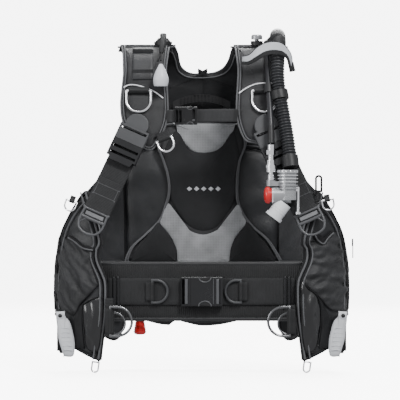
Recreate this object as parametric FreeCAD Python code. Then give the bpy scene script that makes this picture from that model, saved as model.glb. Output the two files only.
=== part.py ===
import FreeCAD, Part
import math
import os

# A jacket-style buoyancy compensator vest, empty and standing as worn.
# Millimetres. +Z up, the wearer faces -Y and the tank hangs behind the back.
# The origin is the centre of the tank band's bore. "Left" and "right" are as seen from the front.

V = FreeCAD.Vector
os.makedirs("parts", exist_ok=True)

# ---- driving dimensions ----------------------------------------------------------------------
TANK_R = 92.0            # bore of the tank band, for a 184 mm cylinder
BAND_T = 3.0             # tank band webbing thickness
WEB = 50.0               # harness webbing width
WEB_T = 2.5              # harness webbing thickness
CHEST_WEB = 25.0         # sternum strap webbing width
GAP = 0.4                # clearance between pieces on different bodies
PLATE_T = 8.0            # backplate thickness
PLATE_W = 150.0          # backplate width
PLATE_TOP, PLATE_BOTTOM = 190.0, -170.0
BACK_T = 20.0            # rear bladder thickness
BACK_HALF_W = 150.0      # half width of the flat back of the bladder
PAD_T = 18.0             # back pad thickness
SHOULDER_T = 14.0        # shoulder pad thickness
SHOULDER_TOP = 337.0     # highest point of the shoulders
ARCH_R = 75.0            # outer radius of the shoulder arch
STRAP_LEAN = 12.0        # forward lean of the shoulder straps, degrees
LOBE_T = 22.0            # side lobe thickness
LOBE_A = 127.0           # side lobe half width, measured across
LOBE_B = 106.0           # side lobe half depth, measured front to back
WAIST_Z = -122.0         # height of the waist belt's centre line
CUMMERBUND_W = 104.0     # cummerbund height
CUMMERBUND_T = 8.0       # cummerbund thickness
RING_WIRE = 5.0          # steel D-ring wire diameter
HOSE_D = 26.0            # corrugated hose, over the ribs
LP_HOSE_D = 10.5         # low-pressure hose
KNOB_LEN, KNOB_R = 41.0, 14.5      # egg-shaped shoulder pull knob
RED_KNOB_LEN = 37.0      # ribbed cone that pulls the rear valve

# ---- places that follow from them -------------------------------------------------------------
PLATE_Y = -(TANK_R + BAND_T + 1.0)          # rear face of the backplate
BACK_Y = PLATE_Y - PLATE_T                  # rear face of the bladder
PAD_Y = BACK_Y - BACK_T                     # rear face of the back pad
PAD_FRONT = PAD_Y - PAD_T
LOBE_CX = BACK_HALF_W
LOBE_CY = BACK_Y - LOBE_B
LOBE_FRONT = LOBE_CY - LOBE_B
ARCH_Z = SHOULDER_TOP - ARCH_R
ARCH_Y = BACK_Y - 4.0 - ARCH_R
CUMMERBUND_Y = LOBE_CY - (LOBE_B - LOBE_T) + 7.0 + CUMMERBUND_T   # rear face at the front
BELT_Y = CUMMERBUND_Y - CUMMERBUND_T - GAP                        # rear face of the belt webbing
SIDES = (("left", -1.0), ("right", 1.0))

RAD = math.pi / 180.0


# ---- helpers ----------------------------------------------------------------------------------
def box(x0, x1, y0, y1, z0, z1):
    """A box between two corners, given in any order."""
    lo = V(min(x0, x1), min(y0, y1), min(z0, z1))
    return Part.makeBox(abs(x1 - x0), abs(y1 - y0), abs(z1 - z0), lo)


def cyl(r, h, base, axis):
    return Part.makeCylinder(r, h, V(*base), V(*axis))


def cone(r0, r1, h, base, axis):
    return Part.makeCone(r0, r1, h, V(*base), V(*axis))


def moved(shape, x, y, z):
    out = shape.copy()
    out.translate(V(x, y, z))
    return out


def turned(shape, axis, degrees, centre=(0, 0, 0)):
    out = shape.copy()
    out.rotate(V(*centre), V(*axis), degrees)
    return out


def mirrored(shape, side):
    """The shape as drawn for the left, or its mirror image for the right."""
    if side < 0:
        return shape
    return shape.mirror(V(0, 0, 0), V(1, 0, 0))


def fused(shapes):
    out = shapes[0]
    if len(shapes) > 1:
        out = out.fuse(shapes[1:])
    return out.removeSplitter()


def rounded(shape, radius, edges=None):
    """Rounds the given edges, or all of them."""
    return shape.makeFillet(radius, edges if edges else shape.Edges)


def outline(points):
    """A closed face in the XZ plane: (x, z) corners, and (x, z, xm, zm) for an arc through (xm, zm)."""
    edges = []
    last = V(points[0][0], 0, points[0][1])
    for p in list(points[1:]) + [points[0][:2]]:
        end = V(p[0], 0, p[1])
        if len(p) == 4:
            edges.append(Part.Arc(last, V(p[2], 0, p[3]), end).toShape())
        else:
            edges.append(Part.LineSegment(last, end).toShape())
        last = end
    return Part.Face(Part.Wire(edges))


def slab(points, y_rear, thick):
    """An outline given a thickness forwards from the plane y = y_rear."""
    return moved(outline(points).extrude(V(0, -thick, 0)), 0, y_rear, 0)


def d_ring(width, drop, wire, bar=True):
    """A D-ring in the XZ plane: its straight bar along X at the origin, its bow hanging below."""
    r = wire / 2.0
    bow = width / 2.0 - r
    leg = max(drop - width / 2.0, 1.0)
    half = Part.makeTorus(bow, r, V(0, 0, -leg), V(0, 1, 0)).common(
        box(-width, width, -wire, wire, -leg - width, -leg))
    parts = [half] + [cyl(r, leg, (s * bow, 0, -leg), (0, 0, 1)) for s in (-1, 1)]
    parts += [Part.makeSphere(r, V(s * bow, 0, 0)) for s in (-1, 1)]
    if bar:
        parts.append(cyl(r, 2 * bow, (-bow, 0, 0), (1, 0, 0)))
    return fused(parts)


def buckle_female(width, length, thick, depth, wall):
    """A side-release socket along +X, mouth at x = 0: a hollow with two thumb windows and a strap bar."""
    body = box(0, length, -width / 2, width / 2, 0, thick)
    body = rounded(body, thick * 0.22, [e for e in body.Edges if abs(e.Vertexes[0].X - e.Vertexes[1].X) > 1])
    cavity = box(-1, depth, -width / 2 + wall, width / 2 - wall, wall, thick - wall)
    windows = [box(depth * 0.45, depth * 0.88, s * (width / 2 - wall - 1), s * (width / 2 + 1),
                   wall, thick - wall) for s in (-1, 1)]
    slot_end = length - 4.0
    slot = box(slot_end - 5.0, slot_end, -width / 2 + 4, width / 2 - 4, -1, thick + 1)
    cut = body
    for tool in [cavity, slot] + windows:
        cut = cut.cut(tool)
    return cut


def buckle_male(width, length, thick, depth, wall):
    """The plug that fits the socket above: a base with two strap slots, two arms and a centre guide."""
    t0, t1 = wall + GAP, thick - wall - GAP
    base = box(-length, -GAP, -width / 2, width / 2, 0, thick)
    base = rounded(base, thick * 0.22,
                   [e for e in base.Edges if abs(e.Vertexes[0].X - e.Vertexes[1].X) > 1])
    for x in (-length * 0.42, -length * 0.80):
        base = base.cut(box(x - 2.5, x + 2.5, -width / 2 + 4, width / 2 - 4, -1, thick + 1))
    arm_w = width * 0.13
    out = width / 2 - wall - GAP
    arms = [box(-2, depth - 2, s * (out - arm_w), s * out, t0, t1) for s in (-1, 1)]
    guide = box(-2, depth - 4, -width * 0.07, width * 0.07, t0, t1)
    return fused([base] + arms + [guide])


def save(name, *shapes):
    """Writes one node: one solid, or a group of separate solids that belong together."""
    solids = [solid for shape in shapes for solid in shape.Solids]
    out = solids[0] if len(solids) == 1 else Part.makeCompound(solids)
    out.exportStep("parts/%s.step" % name)
    print("%-28s solids %2d  volume %9.1f  valid %s" % (name, len(solids), out.Volume, out.isValid()))


# ---- tank band, backplate and carry handle ----------------------------------------------------
def build_back():
    band = cyl(TANK_R + BAND_T, WEB, (0, 0, -WEB / 2), (0, 0, 1))
    band = band.cut(cyl(TANK_R, WEB + 2, (0, 0, -WEB / 2 - 1), (0, 0, 1)))
    save("tank_band", band)

    # The plate is hollowed to the band's curve and has side slots that the band comes through.
    plate = slab([(-PLATE_W / 2, PLATE_BOTTOM + 30), (-PLATE_W / 2 + 30, PLATE_BOTTOM,
                  -PLATE_W / 2 + 8, PLATE_BOTTOM + 8), (PLATE_W / 2 - 30, PLATE_BOTTOM),
                  (PLATE_W / 2, PLATE_BOTTOM + 30, PLATE_W / 2 - 8, PLATE_BOTTOM + 8),
                  (PLATE_W / 2 - 10, PLATE_TOP - 20), (PLATE_W / 2 - 35, PLATE_TOP),
                  (-PLATE_W / 2 + 35, PLATE_TOP), (-PLATE_W / 2 + 10, PLATE_TOP - 20)],
                 PLATE_Y, PLATE_T)
    windows = [box(s * 18, s * 52, PLATE_Y + 1, BACK_Y - 1, z, z + 60) for s in (-1, 1)
               for z in (-130, 60)]
    for window in windows:
        plate = plate.cut(window)
    cheeks = []
    for s in (-1, 1):
        cheek = box(s * 42, s * 70, PLATE_Y, -70, -60, 60)
        cheek = cheek.cut(cyl(TANK_R + BAND_T + GAP, 124, (0, 0, -62), (0, 0, 1)))
        cheeks.append(cheek)
    save("backplate", fused([plate] + cheeks))

    # The cam buckle lies on the outside of the band, on the right of the tank.
    outer = TANK_R + BAND_T
    frame = box(outer + GAP, outer + 6, -26, 26, -29, 29)
    frame = frame.cut(box(outer - 1, outer + 7, -14, -8, -25, 25))
    ears = [box(outer + 5, outer + 18, 10, 22, s * 25, s * 29) for s in (-1, 1)]
    frame = fused([frame] + ears)
    pin_x, pin_y = outer + 12.0, 16.0
    frame = frame.cut(cyl(2.3, 70, (pin_x, pin_y, -35), (0, 0, 1)))
    save("cam_buckle_frame", frame, cyl(2.0, 60, (pin_x, pin_y, -30), (0, 0, 1)))
    lever = box(pin_x - 4, pin_x + 4, -62, pin_y + 4, -24, 24)
    lever = lever.cut(box(pin_x - 5, pin_x + 5, -50, -8, -12, 12))
    lever = rounded(lever, 2.5, [e for e in lever.Edges if abs(e.Vertexes[0].Z - e.Vertexes[-1].Z) > 40])
    lever = lever.cut(cyl(2.4, 60, (pin_x, pin_y, -30), (0, 0, 1)))
    save("cam_lever", lever)

    # The handle is a bowed bar across the back of the neck, with two feet on the yoke.
    handle_z, handle_half, handle_y = 226.0, 54.0, PAD_Y - 1.0
    bow = slab([(-handle_half, handle_z - 9), (handle_half, handle_z - 9, 0, handle_z + 5),
                (handle_half, handle_z + 5), (-handle_half, handle_z + 5, 0, handle_z + 19)],
               handle_y - 14.0, 9.0)
    for k in range(-6, 7):
        x = k * 6.6
        bow = bow.cut(box(x - 1.5, x + 1.5, handle_y - 30, handle_y - 19, handle_z, handle_z + 18))
    feet = [box(s * (handle_half - 12), s * handle_half, handle_y, handle_y - 18, handle_z - 8, handle_z + 4)
            for s in (-1, 1)]
    save("carry_handle", fused([bow] + feet))


# ---- soft back, yoke and shoulder pads --------------------------------------------------------
def arch_band(thick, half):
    """The shoulder arch seen from the side, 'thick' deep: the rear or the front quarter."""
    ring = cyl(ARCH_R, 400, (-200, ARCH_Y, ARCH_Z), (1, 0, 0))
    ring = ring.cut(cyl(ARCH_R - thick, 402, (-201, ARCH_Y, ARCH_Z), (1, 0, 0)))
    y0, y1 = (ARCH_Y, ARCH_Y + ARCH_R + 1) if half == "rear" else (ARCH_Y - ARCH_R - 1, ARCH_Y)
    return ring.common(box(-200, 200, y0, y1, ARCH_Z, ARCH_Z + ARCH_R + 1))


def build_soft_back():
    bladder = slab([(-BACK_HALF_W, -150), (-100, -182, -138, -172), (-62, -190), (-30, -176), (0, -191),
                    (86, -176, 45, -186), (110, -178), (BACK_HALF_W, -150, 140, -170),
                    (BACK_HALF_W, 100), (80, 150, 122, 140), (-80, 150), (-BACK_HALF_W, 100, -122, 140)],
                   BACK_Y, BACK_T)
    save("rear_bladder", bladder)

    # The yoke rises from the bladder behind the neck and divides into the two shoulders.
    yoke_front = [(-150, 150.5), (150, 150.5), (153, ARCH_Z), (153, SHOULDER_TOP + 5),
                  (58, SHOULDER_TOP + 5), (40, 296, 52, 312), (21, 285), (-21, 285), (-40, 296),
                  (-58, SHOULDER_TOP + 5, -52, 312), (-149, SHOULDER_TOP + 5), (-149, ARCH_Z)]
    prism = outline(yoke_front).extrude(V(0, -400, 0))
    rise = box(-200, 200, BACK_Y - 4, BACK_Y - 4 - SHOULDER_T, 150.5, ARCH_Z)
    yoke = rise.fuse(arch_band(SHOULDER_T, "rear")).removeSplitter().common(prism)
    save("neck_yoke", yoke)

    pad_outline = [(-82, 146), (-71, 120), (-62, 65, -64, 92), (-68, 37), (-79, 9), (-105, -18), (-132, -43),
                   (-142, -64), (-142, -76), (150, -76), (149, -66), (127, -31), (99, -6), (80, 18),
                   (69, 46), (68, 83), (71, 120, 68, 100), (84, 157), (70, 196), (-68, 196)]
    save("back_pad", slab(pad_outline, PAD_Y - GAP, PAD_T))

    lean = math.tan(STRAP_LEAN * RAD)
    pads = []
    for _, side in SIDES:
        outer, inner = (149.0, 62.0) if side < 0 else (153.0, 64.0)
        tip_x, tip_z = (97.0, 139.0) if side < 0 else (105.0, 150.0)
        front = [(-outer, SHOULDER_TOP + 5), (-outer + 6, 290, -outer + 4, 315), (-outer, 225),
                 (-outer + 6, 185, -outer - 1, 205), (-tip_x - 12, tip_z + 4), (-tip_x, tip_z),
                 (-inner - 12, 172, -inner - 20, 152), (-inner, 225, -inner - 2, 198),
                 (-inner - 4, 290, -inner + 1, 260), (-inner + 2, SHOULDER_TOP + 5)]
        prism = mirrored(outline(front).extrude(V(0, -400, 0)), side)
        y_top = ARCH_Y - ARCH_R
        drop = ARCH_Z - 130.0
        side_view = [(y_top, ARCH_Z), (y_top + SHOULDER_T, ARCH_Z),
                     (y_top + SHOULDER_T - drop * lean, ARCH_Z - drop),
                     (y_top - drop * lean, ARCH_Z - drop), (y_top, ARCH_Z)]
        profile = Part.makePolygon([V(-200, y, z) for y, z in side_view])
        fall = Part.Face(profile).extrude(V(400, 0, 0))
        pads.append(fall.fuse(arch_band(SHOULDER_T, "front")).removeSplitter().common(prism))
    save("shoulder_pads", *pads)


# ---- side lobes, pockets, cummerbund and waist belt -------------------------------------------
def side_band(a_out, b_out, thick, z0, z1, side):
    """Half an elliptical wall, open towards the wearer, between two heights."""
    def disc(a, b):
        ellipse = Part.Ellipse(V(side * LOBE_CX, LOBE_CY, z0), max(a, b), min(a, b))
        if b > a:
            ellipse.XAxis = V(0, 1, 0)
        return Part.Face(Part.Wire(ellipse.toShape())).extrude(V(0, 0, z1 - z0))
    wall = disc(a_out, b_out).cut(disc(a_out - thick, b_out - thick))
    far = side * (LOBE_CX + a_out + 1)
    return wall.common(box(side * LOBE_CX, far, LOBE_CY - b_out - 1, LOBE_CY + b_out + 1, z0, z1))


def build_sides():
    rear = [(-140, 128), (-197, 83, -172, 112), (-256, 0, -234, 44), (-282, -150, -278, -75),
            (-282, -166), (-240, -172), (-230, -215), (-140, -190)]
    front = [(-214, 62), (-256, 0, -238, 34), (-282, -150, -278, -75), (-282, -166), (-241, -172),
             (-236, -226), (-190, -248), (-179, -176), (-177, -107), (-194, -62, -188, -88), (-188, -30)]
    lobes = []
    for _, side in SIDES:
        band = side_band(LOBE_A, LOBE_B, LOBE_T, -250, 130, side)
        rear_part = band.common(mirrored(outline(rear).extrude(V(0, LOBE_CY, 0)), side))
        front_part = band.common(mirrored(moved(outline(front).extrude(V(0, -200, 0)), 0, LOBE_CY, 0), side))
        lobes.append(fused([rear_part, front_part]))
    save("side_lobes", *lobes)

    inset = LOBE_T + 5.0
    z0, z1 = WAIST_Z - CUMMERBUND_W / 2, WAIST_Z + CUMMERBUND_W / 2
    wraps = [side_band(LOBE_A - inset, LOBE_CY - CUMMERBUND_Y + CUMMERBUND_T, CUMMERBUND_T, z0, z1, side)
             for _, side in SIDES]
    sash = box(-LOBE_CX, LOBE_CX, CUMMERBUND_Y, CUMMERBUND_Y - CUMMERBUND_T, z0, z1)
    save("cummerbund", fused([sash] + wraps))

    # The belt lies on the sash, in two halves that meet at the buckle.
    belt_z0, belt_z1 = WAIST_Z - WEB / 2, WAIST_Z + WEB / 2
    belt = [box(-BELT_REACH, WAIST_MOUTH_X - 4, BELT_Y, BELT_Y - WEB_T, belt_z0, belt_z1),
            box(WAIST_MOUTH_X + WAIST_FEMALE_L - 12, BELT_REACH, BELT_Y, BELT_Y - WEB_T, belt_z0, belt_z1)]
    for _, side in SIDES:
        bar_y = BELT_Y - WEB_T - GAP
        bar = box(side * 163, side * 151, bar_y, bar_y - 3, belt_z0 - 4, belt_z1 + 4)
        lips = [box(side * 163, side * 151, BELT_Y, BELT_Y - WEB_T - GAP - 1, z, z + 3)
                for z in (belt_z0 - 4, belt_z1 + 1)]
        belt.append(fused([bar] + lips))
    save("waist_belt", *belt)


# ---- fasteners --------------------------------------------------------------------------------
WAIST_MOUTH_X = -20.0        # where the waist plug meets its socket
WAIST_FEMALE_L, WAIST_MALE_L = 58.0, 17.0
WAIST_BUCKLE_W, WAIST_BUCKLE_T, WAIST_DEPTH, WAIST_WALL = 54.0, 14.0, 22.0, 2.5
WAIST_BUCKLE_Y = BELT_Y - WEB_T - GAP
BELT_REACH = 172.0           # how far each half of the belt runs out from the middle

CHEST_Z = 201.0              # height of the sternum strap
CHEST_MOUTH_X = -32.0
CHEST_FEMALE_L, CHEST_MALE_L, CHEST_BUCKLE_W, CHEST_BUCKLE_T = 24.0, 17.0, 33.0, 9.0
CHEST_DEPTH, CHEST_WALL = 13.0, 1.8

SWIVEL_X, SWIVEL_Z = 119.0, 181.0        # centre of the swivel head, out from the middle and up
SWIVEL_TILT = 65.6                       # slope of the shoulder strap, degrees from level
SWIVEL_HEAD_R, SWIVEL_T = 22.0, 12.0
SWIVEL_BODY_L, SWIVEL_W, SWIVEL_DEPTH, SWIVEL_WALL = 36.0, 58.0, 24.0, 2.5
SWIVEL_MALE_L = 34.0
PIVOT_R = 6.0
STRAP_LEN = 190.0            # from the swivel's centre to the end of the shoulder strap
SLIDER_AT = 179.0            # from the swivel's centre to the bar of the slider ring
STRAP_SEAT = 3.2             # from the pad's face to the rear of the swivel head
BUCKLE_LIFT = WEB_T + GAP    # the plug lies on the webbing


def pad_face_y(z):
    """Where the shoulder pads' front face stands at height z."""
    return ARCH_Y - ARCH_R - (ARCH_Z - z) * math.tan(STRAP_LEAN * RAD)


def on_strap(shape, side):
    """Puts a piece drawn along +X, with its thickness up +Z, onto a shoulder strap."""
    out = turned(shape, (1, 0, 0), 90)
    out = turned(out, (0, 1, 0), -SWIVEL_TILT)
    out = turned(out, (1, 0, 0), -STRAP_LEAN)
    out = moved(out, -SWIVEL_X, pad_face_y(SWIVEL_Z), SWIVEL_Z)
    return mirrored(out, side)


def build_waist_buckle():
    def place(shape):
        return moved(turned(shape, (1, 0, 0), 90), WAIST_MOUTH_X, WAIST_BUCKLE_Y, WAIST_Z)
    save("waist_buckle_socket", place(buckle_female(
        WAIST_BUCKLE_W, WAIST_FEMALE_L, WAIST_BUCKLE_T, WAIST_DEPTH, WAIST_WALL)))
    save("waist_buckle_plug", place(buckle_male(
        WAIST_BUCKLE_W, WAIST_MALE_L, WAIST_BUCKLE_T, WAIST_DEPTH, WAIST_WALL)))


def build_sternum_strap():
    strap_y = pad_face_y(CHEST_Z - CHEST_WEB / 2) - GAP
    z0, z1 = CHEST_Z - CHEST_WEB / 2, CHEST_Z + CHEST_WEB / 2
    save("sternum_strap", box(-84, CHEST_MOUTH_X - 4, strap_y, strap_y - 2, z0, z1),
         box(CHEST_MOUTH_X + CHEST_FEMALE_L - 5, 86, strap_y, strap_y - 2, z0, z1))

    def place(shape):
        return moved(turned(shape, (1, 0, 0), 90), CHEST_MOUTH_X, strap_y - 2 - GAP, CHEST_Z)
    save("sternum_buckle_socket", place(buckle_female(
        CHEST_BUCKLE_W, CHEST_FEMALE_L, CHEST_BUCKLE_T, CHEST_DEPTH, CHEST_WALL)))
    save("sternum_buckle_plug", place(buckle_male(
        CHEST_BUCKLE_W, CHEST_MALE_L, CHEST_BUCKLE_T, CHEST_DEPTH, CHEST_WALL)))


def build_shoulder_straps():
    pivots = []
    for name, side in SIDES:
        pivot = fused([cyl(SWIVEL_HEAD_R - 6, STRAP_SEAT - GAP, (0, 0, 0), (0, 0, 1)),
                       cyl(PIVOT_R, STRAP_SEAT + 5, (0, 0, 0), (0, 0, 1))])
        pivots.append(on_strap(pivot, side))

        head = cyl(SWIVEL_HEAD_R, SWIVEL_T - 3, (0, 0, 0), (0, 0, 1))
        head = rounded(head, 2.0, [e for e in head.Edges if e.BoundBox.ZMin > SWIVEL_T - 4])
        socket = moved(buckle_female(SWIVEL_W, SWIVEL_BODY_L - 6, SWIVEL_T, SWIVEL_DEPTH, SWIVEL_WALL),
                       -SWIVEL_BODY_L, 0, 0)
        neck = box(-14, 0, -SWIVEL_HEAD_R + 2, SWIVEL_HEAD_R - 2, 0, SWIVEL_T - 3)
        whole = fused([socket, neck, head]).cut(cyl(PIVOT_R + GAP, 5.5, (0, 0, -0.1), (0, 0, 1)))
        inner = SWIVEL_W / 2 - SWIVEL_WALL
        whole = whole.cut(box(-SWIVEL_BODY_L - 1, -SWIVEL_BODY_L + SWIVEL_DEPTH, -inner, inner,
                              SWIVEL_WALL, SWIVEL_T - SWIVEL_WALL))
        whole = moved(whole, 0, 0, STRAP_SEAT)
        save("swivel_socket_" + name, on_strap(whole, side))

        plug = buckle_male(SWIVEL_W, SWIVEL_MALE_L, SWIVEL_T, SWIVEL_DEPTH, SWIVEL_WALL)
        tab = cyl(SWIVEL_W / 2 - 6, 4.0, (-SWIVEL_MALE_L + 2, 0, SWIVEL_T - 4), (0, 0, 1))
        tab = tab.common(box(-SWIVEL_MALE_L - 24, -SWIVEL_MALE_L + 3, -40, 40, 0, SWIVEL_T))
        tab = tab.common(box(-SWIVEL_MALE_L - 8, 0, -40, 40, 0, SWIVEL_T))
        whole = moved(fused([plug, tab]), -SWIVEL_BODY_L, 0, STRAP_SEAT)
        save("ladder_lock_" + name, on_strap(whole, side))

        z_web = STRAP_SEAT - BUCKLE_LIFT
        web = box(-STRAP_LEN, -SWIVEL_BODY_L - 6, -WEB / 2, WEB / 2, z_web, z_web + WEB_T)
        frame = box(-6, 6, -WEB / 2 - 5, WEB / 2 + 5, 0, 4.0)
        frame = frame.cut(box(-2.5, 2.5, -WEB / 2, WEB / 2, -1, 5))
        bow = turned(d_ring(WEB + 4, 45, 5.0, False), (0, 1, 0), 90)
        bow = turned(bow, (1, 0, 0), 90)
        slider = fused([frame, moved(bow, -4, 0, 2.2)])
        slider = moved(slider, -SLIDER_AT, 0, z_web + WEB_T + 0.2)
        save("shoulder_strap_" + name, on_strap(web, side), on_strap(slider, side))
    save("swivel_pivots", *pivots)


# ---- rings ------------------------------------------------------------------------------------
def ring_keeper(width, wire, depth):
    """A block round a ring's bar, drawn along X at the origin, with its back 'depth' behind."""
    block = box(-width / 2, width / 2, depth, -wire / 2 - 1.6, -wire / 2 - 1.8, wire / 2 + 1.8)
    return block.cut(cyl(wire / 2 + 0.3, width + 2, (-width / 2 - 1, 0, 0), (1, 0, 0)))


# Each ring: name, width, drop, wire, place of its bar's middle, turn about Y, its keeper's width and
# depth behind the bar, lean forwards, and whether it swings.
BELT_RING_Y = BELT_Y - WEB_T - GAP - RING_WIRE / 2 - 0.4
COLUMN_Y = LOBE_FRONT - 0.6            # rear face of the webbing columns on the lobes' front edges
RINGS = {}


def ring(name, width, drop, wire, at, turn, keeper_w, depth, lean=0.0, swings=True):
    RINGS[name] = dict(width=width, drop=drop, wire=wire, at=at, turn=turn, keeper_w=keeper_w,
                       depth=depth, lean=lean, swings=swings)


for _name, _s in SIDES:
    _belt_x = -91.0 if _s < 0 else 72.0
    ring("belt_ring_" + _name, 46.0, 31.0, RING_WIRE, (_belt_x, BELT_RING_Y, WAIST_Z), _s * 90.0, 22.0,
         RING_WIRE / 2 + 0.4)
    ring("chest_ring_" + _name, 50.0, 42.0, RING_WIRE,
         (_s * 116.0, pad_face_y(249.0) - 4.4, 247.0), 0.0, 26.0, 3.5, -STRAP_LEAN)
    ring("lower_ring_" + _name, 58.0, 42.0, RING_WIRE,
         (_s * (167.0 if _s < 0 else 161.0), COLUMN_Y - WEB_T - RING_WIRE / 2 - 0.8, -176.0), _s * 90.0,
         26.0, RING_WIRE / 2 + 0.8)
    ring("inner_ring_" + _name, 44.0, 28.0, 4.0, (_s * 166.0, COLUMN_Y + 3.6, -180.0), _s * 90.0,
         20.0, 3.6)
ring("shoulder_hook_ring", 33.0, 26.0, 4.0, (-69.0, pad_face_y(166.0) - 5.0, 158.0), -22.0, 14.0, 3.0,
     -STRAP_LEAN)
ring("accessory_ring_left", 24.0, 20.0, 3.0, (-238.0, -301.0, 44.0), 20.0, 10.0, 9.0, 0.0, False)
ring("accessory_ring_right", 24.0, 20.0, 3.0, (230.0, -318.0, 46.0), -10.0, 10.0, 20.5, 0.0, False)


def place_ring(shape, spec):
    out = turned(shape, (0, 1, 0), spec["turn"])
    out = turned(out, (1, 0, 0), spec["lean"])
    return moved(out, *spec["at"])


def build_rings():
    for name, spec in RINGS.items():
        if spec["swings"]:
            save(name, place_ring(d_ring(spec["width"], spec["drop"], spec["wire"]), spec))
    save("ring_keepers", *[place_ring(ring_keeper(spec["keeper_w"], spec["wire"], spec["depth"]), spec)
                           for spec in RINGS.values()])


# ---- integrated weights, trims and small loops -------------------------------------------------
POUCH_X, POUCH_Y0, POUCH_Y1 = 254.0, -284.0, -216.0
POUCH_TOP, POUCH_BOTTOM = -174.0, -232.0
POUCH_WALL = 2.0
POUCH_HALF_W = 13.0
GRIP_Y, GRIP_T = -292.5, 9.0       # rear face and thickness of the pale grips


def build_weights():
    sleeves = []
    for name, side in SIDES:
        x0, x1 = side * (POUCH_X - POUCH_HALF_W), side * (POUCH_X + POUCH_HALF_W)
        sleeve = box(x0, x1, POUCH_Y0, POUCH_Y1, POUCH_TOP, POUCH_BOTTOM)
        w = POUCH_WALL
        sleeve = sleeve.cut(box(x0 + side * w, x1 - side * w, POUCH_Y0 + w, POUCH_Y1 - w,
                                POUCH_TOP - w, POUCH_BOTTOM - 1))
        sleeves.append(sleeve)
        g = w + 0.6
        pouch = box(x0 + side * g, x1 - side * g, POUCH_Y0 + g, POUCH_Y1 - g, POUCH_TOP - g, POUCH_BOTTOM - 5)
        pouch = rounded(pouch, 3.0, [e for e in pouch.Edges if abs(e.Vertexes[0].Z - e.Vertexes[-1].Z) > 20])

        grip = slab([(-POUCH_X - 17, -168), (-POUCH_X + 13, -178, -POUCH_X + 2, -161),
                     (-POUCH_X + 19, -196), (-POUCH_X + 18, -232),
                     (-POUCH_X - 6, -244, -POUCH_X + 9, -243), (-POUCH_X - 15, -205, -POUCH_X - 13, -228)],
                    GRIP_Y, GRIP_T)
        grip = rounded(grip, 2.5, [e for e in grip.Edges if e.BoundBox.YMax < GRIP_Y - GRIP_T + 1])
        eye = cyl(4.0, 30, (-POUCH_X - 5, GRIP_Y + 5, -174.5), (0, -1, 0))
        tongue = box(-POUCH_X - 6, -POUCH_X + 10, GRIP_Y - 2, POUCH_Y0 + 8,
                     POUCH_BOTTOM - 3, POUCH_BOTTOM - 5)
        grip = mirrored(fused([grip.cut(eye), tongue.cut(mirrored(pouch, side))]), side)
        save("weight_pouch_" + name, pouch, grip)
    save("weight_sleeves", *sleeves)


def build_small():
    trims, loops = [], []
    a = LOBE_CX + LOBE_A
    for _, side in SIDES:
        x0, x1 = (-188.0, -160.0) if side < 0 else (154.0, 182.0)
        trims.append(box(x0, x1, COLUMN_Y, COLUMN_Y - WEB_T, -210, -92))
        chain = box(side * (a + 0.3), side * (a + 2.3), LOBE_CY - 4, LOBE_CY + 4, -150, -20)
        trims.append(chain)

        loop_x = side * 194.0
        hem = moved(turned(d_ring(15.0, 20.0, 3.0), (0, 1, 0), 8), loop_x, LOBE_FRONT + 10, -251.0)
        loops.append(hem)
    save("edge_trims", *trims)
    loops += [place_ring(d_ring(spec["width"], spec["drop"], spec["wire"]), spec)
              for spec in RINGS.values() if not spec["swings"]]
    save("small_rings", *loops)
    slider = box(a + 2.7, a + 5.2, LOBE_CY - 5, LOBE_CY + 5, -40, -26)
    pull = box(a + 3.6, a + 5.2, LOBE_CY - 3, LOBE_CY + 3, -62, -39)
    save("zip_slider", fused([slider, pull]))

    clip_at = (214.0, -318.0, 62.0)
    clip = fused([turned(d_ring(14, 30, 4.0), (0, 1, 0), 180),
                  cyl(4.0, 12, (0, 0, -14), (0, 0, 1)), box(-4, 4, -2, 2, -2, 2)])
    save("snap_clip", moved(clip, *clip_at))


# ---- shoulder valves and pull cords -----------------------------------------------------------
KNOB_X, KNOB_Z, KNOB_Y = -75.0, 276.0, -278.0
RED_X, RED_TOP, RED_Y = -117.0, -168.0, -92.0
CAP_X, CAP_Y = 103.0, ARCH_Y - 8.0


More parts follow.
